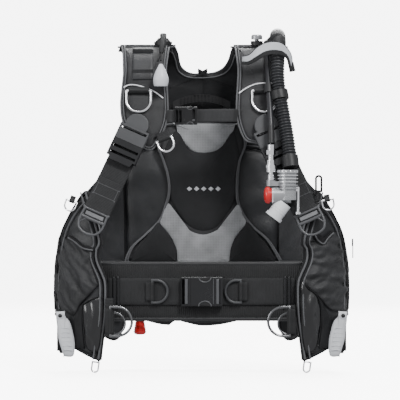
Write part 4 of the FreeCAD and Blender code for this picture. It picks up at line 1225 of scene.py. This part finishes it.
# ---- waist and chest ------------------------------------------------------------------------------
@dataclass
class Waist:
    """Cummerbund, belt, keepers and the sternum strap."""

    front_y: float = -283.0
    belt_y: float = -288.7

    def build(self) -> None:
        """Builds the soft pieces round the waist and chest."""
        turn = np.radians(np.linspace(0, 180, 60))
        left = np.stack([-LOBE_CX - 96.0 * np.sin(turn), LOBE_CY + 73.0 * np.cos(turn)], axis=1)
        right = np.stack([LOBE_CX + 96.0 * np.sin(turn[::-1]), LOBE_CY + 73.0 * np.cos(turn[::-1])], axis=1)
        middle = np.stack([np.linspace(-146, 146, 60), np.full(60, self.front_y)], axis=1)
        plan = resample(np.vstack([left, middle, right]), 220)
        path = np.column_stack([plan, np.full(220, WAIST_Z)])
        sash = ribbon("cummerbund_body", path, (0, 0, 1), 103.0, 7.0, "elastic")
        hems = []
        for k, z in enumerate((WAIST_Z + 50.5, WAIST_Z - 50.5)):
            hem = path + np.array([0.0, 0.0, z - WAIST_Z])
            hems.append(tube("cummerbund_hem_%d" % k, hem, 4.2, "nylon_mid", across=(0, 0, 1)))
        ride_on([sash] + hems)
        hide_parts("cummerbund")
        self.belt()
        self.sternum()

    def belt(self) -> None:
        """Two halves of webbing and their keepers."""
        halves = []
        for name, x0, x1 in (("left", -172.0, -25.0), ("right", 27.0, 172.0)):
            x = np.linspace(x0, x1, 50)
            bow = 0.25 * np.sin(x / 23.0)
            path = np.stack([x, self.belt_y + bow, np.full(50, WAIST_Z)], axis=1)
            halves.append(ribbon("belt_" + name, path, (0, 0, 1), WEB, 2.5, "webbing"))
        keepers = []
        for name, side in SIDES:
            for k, dx in enumerate((0.0, 7.5)):
                z = np.linspace(WAIST_Z - 28, WAIST_Z + 28, 20)
                path = np.stack([np.full(20, side * (153.5 + dx)), np.full(20, self.belt_y - 3.0), z], axis=1)
                keepers.append(ribbon("belt_keeper_%s_%d" % (name, k), path, (1, 0, 0), 4.5, 2.8,
                                      "buckle_plastic"))
        ride_on(halves + keepers)
        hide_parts("waist_belt")

    def sternum(self) -> None:
        """The chest strap's two lengths, tucked behind the buckle."""
        low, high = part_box("sternum_strap")
        y, z = (low[1] + high[1]) / 2 / MM, (low[2] + high[2]) / 2 / MM
        made = []
        for name, x0, x1 in (("left", -74.0, -36.0), ("right", -13.0, 76.0)):
            x = np.linspace(x0, x1, 30)
            tuck = np.clip((np.abs(x) - 56.0) / 15.0, 0.0, 1.0)
            path = np.stack([x, y + 11.0 * tuck * tuck * (3 - 2 * tuck), z + 0.8 * np.sin(x / 30)], axis=1)
            made.append(ribbon("sternum_web_" + name, path, (0, 0, 1), 24.0, 2.0, "webbing_pale"))
        ride_on(made)
        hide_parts("sternum_strap")


# ---- shoulder straps, rings' keepers and weights ----------------------------------------------------
SWIVEL_X, SWIVEL_Z, SWIVEL_TILT = 119.0, 181.0, math.radians(65.6)


def pad_face(z: float) -> float:
    """Where the shoulder pads' front face stands at height z."""
    return ARCH_Y - ARCH_R - (ARCH_Z - z) * math.tan(LEAN)


def strap_frame(side: float) -> Skin:
    """Strap coordinates, along towards the buckle, across and outwards, as points in space.

    Args:
        side: -1 for the left strap, 1 for the right.

    Returns:
        The strap's skin.
    """
    def at(p: Array, q: Array, rise: Array) -> Array:
        """The strap's points, tilted about the swivel and leaned with the pad."""
        x = p * math.cos(SWIVEL_TILT) - q * math.sin(SWIVEL_TILT)
        z = p * math.sin(SWIVEL_TILT) + q * math.cos(SWIVEL_TILT)
        y_leant = -rise * math.cos(LEAN) + z * math.sin(LEAN)
        z_leant = rise * math.sin(LEAN) + z * math.cos(LEAN)
        return np.stack([side * (SWIVEL_X - x), pad_face(SWIVEL_Z) + y_leant, SWIVEL_Z + z_leant], axis=-1)
    return at


@dataclass
class ShoulderStrap:
    """Webbing through the ladder lock, doubled over its slider ring."""

    name: str
    side: float

    def build(self) -> None:
        """Builds one strap and its ring."""
        skin, body = strap_frame(self.side), "shoulder_buckle_" + self.name
        zero, one = np.zeros(1), np.ones(1)
        origin = skin(zero, zero, zero)[0]
        across, along = skin(zero, one, zero)[0] - origin, skin(one, zero, zero)[0] - origin
        turn = np.linspace(0, math.pi, 12)
        lower = np.stack([-192.0 - 4.0 * np.sin(turn), 3.8 - 2.25 * np.cos(turn)], axis=1)
        line = np.vstack([[[-42.0, 1.55], [-120.0, 1.55]], lower,
                          [[-176.0, 5.9], [-166.0, 4.7], [-112.0, 4.4]]])
        line = resample(np.column_stack([line, np.zeros(len(line))]), 140)
        path = skin(line[:, 0], np.zeros(140), line[:, 1])
        web = ribbon("strap_web_" + self.name, path, across, WEB, 2.3, "webbing")
        outline = [(-178, -22), (-178, -22), (-178, 22), (-178, 22), (-196, 23), (-207, 22),
                   (-218, 15), (-222, 0), (-218, -15), (-207, -22), (-196, -23)]
        lines = [(outline, 2.2, True), ([(-194, -22), (-194.5, 0), (-194, 22)], 3.0, False),
                 ([(-195, -11), (-199, -15), (-207, -21)], 1.3, False),
                 ([(-195, 11), (-199, 15), (-207, 21)], 1.3, False)]
        slider = []
        for k, (points, radius, loop) in enumerate(lines):
            line = smooth_line(points, 100, closed=loop)
            bend = skin(line[:, 0], line[:, 1], np.full(100, 8.3))
            slider.append(tube("slider_%s_%d" % (self.name, k), bend, radius, "ring_plastic", loop,
                               (0.0, 1.0, 0.0), 12))
        bar = skin(np.full(20, -186.0), np.linspace(-17.5, 17.5, 20), np.full(20, 7.9))
        slider.append(ribbon("slider_bar_" + self.name, bar, along, 7.6, 2.4, "slider_bar"))
        ride_on([web] + slider, body)
        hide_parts("shoulder_strap_" + self.name)
        self.stitches(skin, body)

    def stitches(self, skin: Skin, body: str) -> None:
        """The sewn box where the strap's tail is fixed."""
        box = smooth_line([(-126, -20), (-126, -20), (-126, 20), (-126, 20), (-146, 20), (-146, 20),
                           (-146, -20), (-146, -20)], 120, closed=True)
        thread = tube("strap_stitch_" + self.name, skin(box[:, 0], box[:, 1], np.full(120, 5.7)), 0.45,
                      "piping", True, (0.0, 1.0, 0.0), 6)
        ride_on(thread, body)


@dataclass(frozen=True)
class Keeper:
    """A folded webbing loop round a ring's bar."""

    name: str
    at: Point
    turn: float
    width: float
    wire: float
    depth: float
    lean: float = 0.0
    leg: float = 15.0

    def build(self) -> bpy.types.Object:
        """The strap folded round the bar, its two legs lying flat behind it."""
        r, b = self.wire / 2, self.depth
        line = smooth_line([(b - 0.7, self.leg), (b - 0.7, 5), (b - 0.8, -1), (r * 0.4, -r - 1.2),
                            (-r - 1.2, 0), (-r * 0.3, r + 1.3), (b - 2.4, 7.5), (b - 2.4, self.leg)], 60)
        local = np.stack([np.zeros(60), line[:, 0], line[:, 1]], axis=1)
        turn, lean = math.radians(self.turn), math.radians(self.lean)
        about_y = np.array([[math.cos(turn), 0, math.sin(turn)], [0, 1, 0],
                            [-math.sin(turn), 0, math.cos(turn)]])
        about_x = np.array([[1, 0, 0], [0, math.cos(lean), -math.sin(lean)],
                            [0, math.sin(lean), math.cos(lean)]])
        spin = about_x @ about_y
        path = local @ spin.T + np.array(self.at)
        across = spin @ np.array([1.0, 0.0, 0.0])
        return ribbon("keeper_" + self.name, path, across, self.width, 1.5, "webbing")


def ring_keepers() -> None:
    """Every ring's webbing loop."""
    keepers = []
    for name, side in SIDES:
        belt_x = -91.0 if side < 0 else 72.0
        lower_x = -167.0 if side < 0 else 161.0
        keepers += [
            Keeper("belt_" + name, (belt_x, -293.2, WAIST_Z), side * 90, 34, 5, 2.9, 0, 12),
            Keeper("chest_" + name, (side * 116, pad_face(249) - 4.4, 247), 0, 38, 5, 3.4, -12, 7),
            Keeper("lower_" + name, (lower_x, -322.4, -176), side * 90, 46, 5, 3.2, 0, 10),
            Keeper("inner_" + name, (side * 166, -313.0, -180), side * 90, 20, 4, 3.4, 0, 8)]
    keepers += [Keeper("hook", (-69.0, pad_face(166) - 5.0, 158.0), -22, 23, 4, 3.0, -12, 14),
                Keeper("accessory_left", (-238.0, -301.0, 44.0), 20, 10, 3, 4.5, 0, 10),
                Keeper("accessory_right", (230.0, -318.0, 46.0), -10, 10, 3, 4.5, 0, 10)]
    pieces = [keeper.build() for keeper in keepers]
    ride_on(pieces)
    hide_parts("ring_keepers")


@dataclass
class Weights:
    """One weight pocket's sleeve, its pouch and the pale pull grip."""

    name: str
    side: float
    x: float = 254.0
    rear: float = -216.0
    front: float = -284.0

    @staticmethod
    def slot_section(width: float, depth: float) -> Array:
        """A rounded rectangle's points."""
        line = smooth_line([(width, depth * 0.75), (width * 0.7, depth), (-width * 0.7, depth),
                            (-width, depth * 0.75), (-width, -depth * 0.75), (-width * 0.7, -depth),
                            (width * 0.7, -depth), (width, -depth * 0.75)], 64, closed=True)
        return line

    def build(self) -> None:
        """Builds sleeve, pouch and grip."""
        s, mid = self.side, (self.rear + self.front) / 2
        loop = self.slot_section(11.6, 32.6)
        path = np.column_stack([s * self.x + loop[:, 0], mid + loop[:, 1], np.full(64, -203.0)])
        sleeve = sweep("weight_sleeve_wall_" + self.name, path, strap_section(57.0, 1.8), (0, 0, 1),
                       "nylon_dark", True)
        ride_on(sleeve)
        z = np.linspace(-178.0, -236.5, 14)
        spine = np.column_stack([np.full(14, s * self.x), np.full(14, mid), z])
        ease = 1.0 - 0.25 * np.abs(np.linspace(-1, 1, 14)) ** 8
        pouch = sweep("pouch_bag_" + self.name, spine, self.slot_section(9.6, 30.6), (1, 0, 0), "nylon_mid",
                      False, ease)
        ride_on(pouch, "weight_pouch_" + self.name)
        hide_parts("weight_pouch_" + self.name)
        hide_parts("weight_sleeves")
        self.grip()

    def grip(self) -> None:
        """The moulded grip: a crowned plate with an eye's rim, a dark disc in the eye as its painted shade,
        and ribs for the fingers.
        """
        s = self.side
        skin = flat_skin(-293.0)
        edge = [(252, -158), (252, -158), (267, -159), (267, -159), (267.5, -168), (265, -190), (262, -212),
                (253, -241), (253, -241), (240, -242), (234, -236), (233.5, -212), (241, -180), (250, -168)]
        plate = pillow("grip_plate_" + self.name, skin, [(s * x, z) for x, z in edge], 6.2, 1.9, "pale_grip",
                       (s * 251, -205), rings=24, count=160, edge=5.0)
        a = np.linspace(0, 2 * math.pi, 40, endpoint=False)
        eye = skin(s * 259.5 + 4.6 * np.cos(a), -166.5 + 4.6 * np.sin(a), np.full(40, 7.0))
        pieces = [plate, tube("grip_eye_" + self.name, eye, 1.0, "pale_grip", True)]
        # painted shade: a dark disc inside the eye's rim stands in for the shadowed hole
        hole_shade = lathe("grip_hole_" + self.name, (s * 259.5, -299.0, -166.5), (0, -1, 0),
                     [(0, 3.8), (1.6, 3.8)], "buckle_dark", 28, True)
        ribs = []
        for k in range(6):
            rise = -190.0 - 8.0 * k
            x = np.linspace(243 - 1.2 * k, 259 - 0.7 * k, 14)
            bow = 1.2 * np.sin(np.linspace(0, math.pi, 14))
            line = skin(s * x, np.full(14, rise) + bow, np.full(14, 7.7))
            ribs.append(tube("grip_rib_%d_%s" % (k, self.name), line, 1.0, "pale_grip", False,
                             (0.0, 1.0, 0.0), 8, 1.0 - 0.6 * np.abs(np.linspace(-1, 1, 14)) ** 4))
        ride_on(pieces + [hole_shade] + ribs, "weight_pouch_" + self.name)


# ---- hoses, cords and the inflator ------------------------------------------------------------------
HOSE_ROUTE = ((142, -210, 348), (142, -229, 345), (142, -247, 336), (141, -263, 320), (140, -275, 299),
              (139.5, -282, 274), (142, -289, 247), (147, -296, 219), (152, -304, 189), (157.5, -313, 157),
              (161, -322, 126))
LP_ROUTE = ((127, -324, 148.4), (127, -317, 178), (125.5, -303, 211), (123.5, -287, 243), (122.5, -271, 274),
            (121.5, -253, 303), (121, -230, 326), (121, -203, 339), (121, -173, 341), (119, -141, 330),
            (117.5, -116, 308), (117, -100, 280), (118, -93, 248), (120, -90, 214), (123, -88, 180),
            (125, -88, 146), (126, -87, 112), (125, -87, 80))
PULL_ROUTE = ((-72, -190, 351), (-71.5, -203, 355), (-71, -217, 352), (-71.5, -232, 344), (-73, -248, 332),
              (-74.5, -262, 317), (-75, -272, 303))


def nurbs(name: str, route: Sequence[Point], radius: float, look: str | None) -> bpy.types.Object:
    """A quadratic spline through the neighbourhood of the route's points, swept round if it has a look.

    Args:
        name: the piece's name.
        route: the cord's points, mm.
        radius: of the cord, mm.
        look: the finish's name, or None for a bare line.

    Returns:
        The curve object.
    """
    curve = bpy.data.curves.new(name, "CURVE")
    curve.dimensions = "3D"
    line = curve.splines.new("NURBS")
    line.points.add(len(route) - 1)
    for point, place in zip(line.points, route):
        point.co = (place[0] * MM, place[1] * MM, place[2] * MM, 1.0)
    line.order_u = 3
    line.use_endpoint_u = True
    line.resolution_u = 12
    if look:
        curve.bevel_depth = radius * MM
        curve.bevel_resolution = 6
        curve.use_fill_caps = True
        curve.materials.append(finish(look))
    made = bpy.data.objects.new(name, curve)
    bpy.context.scene.collection.objects.link(made)
    return made


def centreline(route: Sequence[Point], count: int) -> Array:
    """The same spline's points in mm, evenly spaced, read from an unswept copy.

    Args:
        route: the cord's points, mm.
        count: how many points are wanted.

    Returns:
        The points, shape (count, 3).
    """
    guide = nurbs("guide", route, 0.0, None)
    bpy.context.view_layer.update()
    depsgraph = bpy.context.evaluated_depsgraph_get()
    mesh = bpy.data.meshes.new_from_object(guide.evaluated_get(depsgraph))
    flat = np.empty(len(mesh.vertices) * 3)
    mesh.vertices.foreach_get("co", flat)
    curve = guide.data
    bpy.data.objects.remove(guide)
    bpy.data.curves.remove(curve)
    bpy.data.meshes.remove(mesh)
    return resample(flat.reshape(-1, 3) / MM, count)


@dataclass
class Hoses:
    """The corrugated hose, the low-pressure hose, the pull cords and what holds them."""

    pitch: float = 5.6

    def build(self) -> None:
        self.corrugated()
        self.low_pressure()
        self.cords()
        self.flap()

    def corrugated(self) -> None:
        """A hose whose radius is 13 - 2.7 (1 - rib wave), the wave being one broad rib for each pitch."""
        path = centreline(HOSE_ROUTE, 720)
        length = run(path)
        wave = 0.5 - 0.5 * np.cos(length / self.pitch * 2 * math.pi)
        radius = 13.0 - 2.7 * (1.0 - wave ** 0.6)
        hose = tube("corrugated_hose_body", path, 1.0, "hose_rubber", False, (1.0, 0.0, 0.0), 40, radius)
        hood = tube("hose_hood", path[:190], 14.3, "nylon_dark", False, (1.0, 0.0, 0.0), 32)
        ride_on([hose, hood])
        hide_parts("corrugated_hose")

    def low_pressure(self) -> None:
        """The smooth rubber hose from the coupling over the shoulder to its fitting."""
        hose = nurbs("lp_hose_body", LP_ROUTE, 5.25, "hose_rubber")
        length = float(run(centreline(LP_ROUTE, 400))[-1])
        ride_on(hose)
        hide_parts("lp_hose")
        sleeves = []
        for k, route in enumerate((LP_ROUTE, LP_ROUTE[::-1])):
            path = centreline(route, 400)[:26]
            taper = np.linspace(1.0, 0.88, 26)
            sleeves.append(tube("lp_crimp_%d" % k, path, 6.6, "chrome" if k else "rubber", False,
                                (1.0, 0.0, 0.0), 24, taper))
        ride_on(sleeves)

    def cords(self) -> None:
        """The peaked cord to the shoulder knob, and the short one to the rear valve's cone."""
        pull = nurbs("shoulder_cord", PULL_ROUTE, 1.5, "cord_black")
        peak = centreline(PULL_ROUTE, 80)[:66]
        loop = sweep("shoulder_cord_loop", peak, strap_section(12.0, 6.0), (1, 0, 0), "nylon_dark", False,
                     np.concatenate([np.ones(50), np.linspace(1.0, 0.55, 16)]))
        ride_on([pull, loop])
        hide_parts("pull_cords")
        length = float(run(centreline(PULL_ROUTE, 90))[-1])
        z = np.linspace(-141.2, -168.0, 12)
        short = tube("rear_valve_cord", np.column_stack([np.full(12, -117.0), np.full(12, -92.0), z]), 1.5,
                     "cord_black")
        ride_on(short)

    def flap(self) -> None:
        """The silver flap that arches over both hoses, with its dark binding and tail."""
        top = smooth_line([(75.5, 311), (88, 313.6), (102, 326.2), (116.6, 334.1), (133.5, 336.5),
                           (148.3, 333), (159, 323), (165.2, 312.5), (167.5, 300)], 120)
        low = smooth_line([(75, 297), (87, 296), (102, 303), (117, 311.5), (133.5, 314.5), (148, 312.5),
                           (157, 305), (161, 292.5), (163.5, 283)], 120)
        lift = -257.0 - 40.0 * np.sin(np.linspace(0, math.pi, 120)) ** 0.55
        upper, lower = (np.column_stack([line[:, 0], lift, line[:, 1]]) for line in (top, low))
        cloth = web_between("flap_cloth", lower, upper, (0.0, 1.0), 1.2, "silver_cloth")
        bindings = [web_between("flap_binding_0", lower, upper, (-0.04, 0.33), 2.6, "webbing"),
                    tube("flap_binding_1", upper, 1.0, "piping_dark")]
        edge = [(98, 322), (112, 334), (124, 347), (132, 354), (140, 356), (148, 351), (152, 338),
                (153, 320), (126, 316)]
        cover = pillow("hose_cover", flat_skin(-242.0), edge, 7.0, 4.0, "nylon_dark", (133, 336),
                       rings=14, count=90)
        tail_z = np.linspace(300, 283, 12)
        tail = ribbon("flap_tail", np.column_stack([np.linspace(165, 169, 12), np.full(12, -264.0), tail_z]),
                      (1, 0, 0), 9.0, 2.0, "webbing")
        ride_on([cloth, tail, cover] + bindings)
        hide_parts("hose_flap")
        length = float(run((upper + lower) / 2)[-1])


@dataclass
class Fittings:
    """Knobs, the tank band and the bright details on the inflator."""

    def build(self) -> None:
        """Builds the turned and small pieces."""
        knob = lathe("egg_knob", (-75.0, -278.0, 255.5), (0, 0, 1),
                     [(4.4, 0.01), (3.6, 6.0), (2.2, 9.6), (0.5, 11.3), (0, 12.0), (1.4, 12.8), (5, 13.6),
                      (10, 14.3), (14, 14.2), (18, 13.3), (24, 11.2), (30, 8.6), (36, 5.4), (39.5, 3.6),
                      (41, 2.6), (41, 0.01)], "pale_grip", 64)
        ride_on(knob, "shoulder_pull_knob")
        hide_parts("shoulder_pull_knob")
        steps = []
        for k in range(9):
            base, r = k * 4.1, 4.6 + 6.6 * (k / 8) ** 0.8
            steps += [(base, r), (base + 2.0, r + 0.3), (base + 2.3, r + 1.2), (base + 3.6, r + 1.2),
                      (base + 3.9, r + 0.4)]
        steps += [(38.5, 11.0), (40.4, 9.4), (41.4, 6.5), (41.8, 3.0)]
        cone = lathe("red_cone", (-117.0, -92.0, -168.0), (0, 0, -1), [(0, 0.01)] + steps + [(41.9, 0.01)],
                     "red_plastic", 48)
        ride_on(cone, "red_pull_knob")
        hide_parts("red_pull_knob")
        self.band()
        self.inflator()

    def band(self) -> None:
        """The webbing band round the tank."""
        a = np.linspace(0, 2 * math.pi, 160, endpoint=False)
        ring = np.column_stack([93.6 * np.cos(a), 93.6 * np.sin(a), np.zeros(160)])
        band = sweep("band_webbing", ring, strap_section(WEB, 2.6), (0, 0, 1), "webbing", True)
        ride_on(band)
        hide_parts("tank_band")

    def inflator(self) -> None:
        """Chrome rings on the fins, studs round the collar, the button's rim and dome, the mouth's ribs."""
        x, y, made = 157.0, -328.0, []
        for k, z in enumerate(range(78, 92, 6)):
            made.append(lathe("fin_ring_%d" % k, (x, y, z + 0.1), (0, 0, 1),
                              [(0, 18.4), (0.2, 19.25), (1.5, 19.25), (1.7, 18.4)], "chrome", 56))
        a = np.radians(np.arange(190, 352, 24))
        for k, turn in enumerate(a):
            way = (math.cos(turn), math.sin(turn), 0.0)
            made.append(lathe("collar_stud_%d" % k, (x + 18.6 * way[0], y + 18.6 * way[1], 98.0), way,
                              [(0, 1.7), (0.8, 1.6), (1.1, 0.9)], "chrome", 14))
        made.append(lathe("button_rim", (x - 27.9, y, 55.0), (1, 0, 0),
                          [(0, 14.2), (-0.8, 14.6), (-0.8, 15.3), (1.5, 15.3)], "chrome", 48))
        dome = lathe("button_dome", (x - 35.9, y, 55.0), (-1, 0, 0),
                     [(0, 15.4), (2.5, 15.2), (5.0, 13.4), (6.8, 9.5), (7.6, 4.0), (7.8, 0.01)],
                     "red_plastic", 48)
        ride_on(dome, "inflate_button")
        way = unit(np.array([[-0.6, 0.0, -0.8]]))[0]
        start = np.array([153.0, y, 44.0])
        for k, d in enumerate((17.0, 22.0)):
            made.append(lathe("mouth_rib_%d" % k, tuple(start + way * d), tuple(way),
                              [(0, 14.3), (0.5, 15.1), (1.9, 15.1), (2.4, 14.3)], "mouth_grey", 48))
        ride_on(made)


@dataclass
class Mouldings:
    """What stands on the buckles' faces: dark half-discs as painted shade of the release notches, lighter
    rims round them as painted highlights, and bars.
    """

    share: float = 0.45         # where along a socket its notches are
    margin: float = 4.0         # from a bar's ends to the buckle's edges
    wide: float = 5.5           # a bar beside the release
    thin: float = 1.6           # the second bar

    def build(self) -> None:
        """Details the waist and chest buckles."""
        self.release("waist_buckle_socket", "vest", 11.5, 9.5)
        self.release("sternum_buckle_socket", "vest", 6.0, 5.0)
        for node, body, offsets in (("waist_buckle_socket", "vest", (-8.5, -16.5)),
                                    ("waist_buckle_plug", "waist_plug", (9.0,))):
            low, high = (corner / MM for corner in map(np.array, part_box(node)))
            for k, dx in enumerate(offsets):
                x = high[0] + dx if dx < 0 else low[0] + dx
                z = np.linspace(low[2] + self.margin, high[2] - self.margin, 24)
                path = np.stack([np.full(24, x), np.full(24, low[1] - 0.6), z], axis=1)
                bar = ribbon("bar_%s_%d" % (node, k), path, (1, 0, 0), self.thin if k else self.wide, 2.4,
                             "ring_plastic")
                ride_on(bar, body)

    def release(self, node: str, body: str, half: float, deep: float) -> None:
        """Dark half-discs at the top and bottom edges as painted shade of the release notches, each with a
        lighter rim tube as a painted edge highlight.

        Args:
            node: the socket that they are on.
            body: the body that carries it.
            half: a notch's half width, mm.
            deep: how far it reaches in from the edge, mm.
        """
        low, high = (corner / MM for corner in map(np.array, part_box(node)))
        x = low[0] + (high[0] - low[0]) * self.share
        a = np.linspace(0, math.pi, 40)
        made = []
        for k, (edge, way) in enumerate(((high[2], -1.0), (low[2], 1.0))):
            arc = np.stack([x + half * np.cos(a), edge + way * deep * np.sin(a)], axis=1)
            skin = flat_skin(float(low[1]))
            outline = [tuple(point) for point in arc[::4]]
            # painted shade: a dark half-disc on the face stands in for the notch's recess
            made.append(pillow("notch_%s_%d" % (node, k), skin, outline, 0.7, 0.0, "cord_black",
                               (x, edge + way * deep * 0.4), rings=5, count=60, base=-0.2))
            rim = skin(arc[:, 0], arc[:, 1], np.full(40, 0.4))
            # painted highlight: a lighter plastic tube along the notch's edge
            made.append(tube("notch_rim_%s_%d" % (node, k), rim, 0.10 * half, "ring_plastic"))
        ride_on(made, body)


# ---- finishes for the modelled hardware, and the studio ----------------------------------------------
HARDWARE: dict[str, str] = {
    "backplate": "plate_plastic", "cam_buckle_frame": "plate_plastic", "cam_lever": "plate_plastic",
    "carry_handle": "plate_plastic", "waist_buckle_socket": "buckle_plastic",
    "waist_buckle_plug": "buckle_plastic", "sternum_buckle_socket": "buckle_dark",
    "sternum_buckle_plug": "buckle_dark", "swivel_pivots": "buckle_dark",
    "swivel_socket_left": "head_plastic", "swivel_socket_right": "head_plastic",
    "ladder_lock_left": "buckle_plastic", "ladder_lock_right": "buckle_plastic",
    "belt_ring_left": "head_plastic", "belt_ring_right": "head_plastic", "chest_ring_left": "steel",
    # the lower and inner rings take the darkened steel, a painted dark reflection
    "chest_ring_right": "steel", "lower_ring_left": "steel_painted_dark_reflection", "lower_ring_right": "steel_painted_dark_reflection",
    "inner_ring_left": "steel_painted_dark_reflection", "inner_ring_right": "steel_painted_dark_reflection", "shoulder_hook_ring": "steel",
    "small_rings": "steel", "snap_clip": "buckle_dark", "rear_valve": "rubber",
    "shoulder_valves": "plate_plastic", "lp_fitting": "chrome", "hose_elbow": "plate_plastic",
    "hose_bands": "rubber", "inflator_body": "inflator_grey", "mouthpiece": "mouth_grey",
    "coupling_nipple": "chrome", "coupling_body": "chrome", "coupling_sleeve": "chrome",
    "zip_slider": "buckle_dark", "dump_valve_knob": "inflator_grey", "inflate_button": "red_plastic",
    "deflate_lever": "chrome"}


def dress_hardware() -> None:
    """Gives each modelled node that stays in view its finish."""
    for node, look in HARDWARE.items():
        piece = bpy.data.objects[node]
        for socket in piece.material_slots:
            socket.material = finish(look)


FLOOR_Z = -0.275         # just under the hem rings, m
WALL_R, BEND_R, WALL_TOP = 8.0, 5.0, 9.0     # where the floor starts to bend, its bend, the wall's top, m
GLOW = 6.0               # how bright the backdrop is of itself
AIM = (0.0, -0.15, 0.05)         # what the lights point at, m


@dataclass(frozen=True)
class Softbox:
    """A studio light: where it stands, how wide and how strong it is."""

    name: str
    at: Point
    size: float
    power: float

    def build(self, aim: Point) -> None:
        """Adds the light, turned to the aim."""
        light = bpy.data.lights.new(self.name, "AREA")
        light.shape, light.size, light.energy = "SQUARE", self.size, self.power
        lamp = bpy.data.objects.new(self.name, light)
        lamp.location = self.at
        way = np.array(aim) - np.array(self.at)
        flat = math.hypot(way[0], way[1])
        lamp.rotation_euler = (math.atan2(flat, -way[2]), 0.0, math.atan2(way[1], way[0]) - math.pi / 2)
        bpy.context.scene.collection.objects.link(lamp)


def studio() -> None:
    """One seamless floor that curves up into a wall far away, soft lights and the straight-on camera."""
    bend = np.radians(np.linspace(0, 90, 14))
    reach = np.concatenate([[0.4, 1.5, 4.0, 7.0], WALL_R + BEND_R * np.sin(bend), [WALL_R + BEND_R]])
    rise = FLOOR_Z + np.concatenate([np.zeros(4), BEND_R - BEND_R * np.cos(bend), [WALL_TOP]])
    turn = np.linspace(0, 2 * math.pi, 96, endpoint=False)
    rows = np.stack([reach[:, None] * np.cos(turn), reach[:, None] * np.sin(turn),
                     np.repeat(rise[:, None], 96, axis=1)], axis=-1)
    backdrop = bpy.data.meshes.new("floor")
    faces = [list(range(96))] + grid_quads(len(reach), 96, True).tolist()
    backdrop.from_pydata(rows.reshape(-1, 3).tolist(), [], faces)
    net = Net("paper")
    net.feed("Base Color", (0.95, 0.95, 0.95, 1.0))
    net.feed("Roughness", 0.9)
    net.feed("Emission Color", (1.0, 1.0, 1.0, 1.0))
    net.feed("Emission Strength", GLOW)
    backdrop.materials.append(net.material)
    piece = bpy.data.objects.new("floor", backdrop)
    bpy.context.scene.collection.objects.link(piece)
    piece.visible_diffuse = piece.visible_glossy = False
    for box in (Softbox("key", (1.2, -3.0, 2.7), 0.9, 190.0), Softbox("fill", (-2.6, -2.4, 1.0), 1.6, 70.0),
                Softbox("top", (0.2, 0.5, 2.6), 1.2, 80.0), Softbox("rear", (0.4, 3.0, 1.6), 1.6, 90.0)):
        box.build(AIM)
    world = bpy.data.worlds.new("surroundings")
    bpy.context.scene.world = world
    world.use_nodes = True
    back = world.node_tree.nodes["Background"]
    back.inputs["Color"].default_value = (0.97, 0.98, 1.0, 1.0)
    back.inputs["Strength"].default_value = 0.8
    camera = bpy.data.cameras.new("camera")
    camera.sensor_width, camera.lens = 36.0, 292.0
    view = bpy.data.objects.new("camera", camera)
    view.location = (-0.003, -6.25, 0.046)
    view.rotation_euler = (math.pi / 2, 0.0, 0.0)
    bpy.context.scene.collection.objects.link(view)
    bpy.context.scene.camera = view


def main() -> None:
    """Builds every soft and turned piece, dresses the hardware and sets the studio."""
    logging.basicConfig(level=logging.INFO)
    Back().build()
    ShoulderPads().build()
    for name, side in SIDES:
        Lobe(name, side).build()
        ShoulderStrap(name, side).build()
        Weights(name, side).build()
    Waist().build()
    ring_keepers()
    Hoses().build()
    Fittings().build()
    Mouldings().build()
    dress_hardware()
    studio()
    LOG.info("pieces built")


if __name__ == "__main__":
    main()
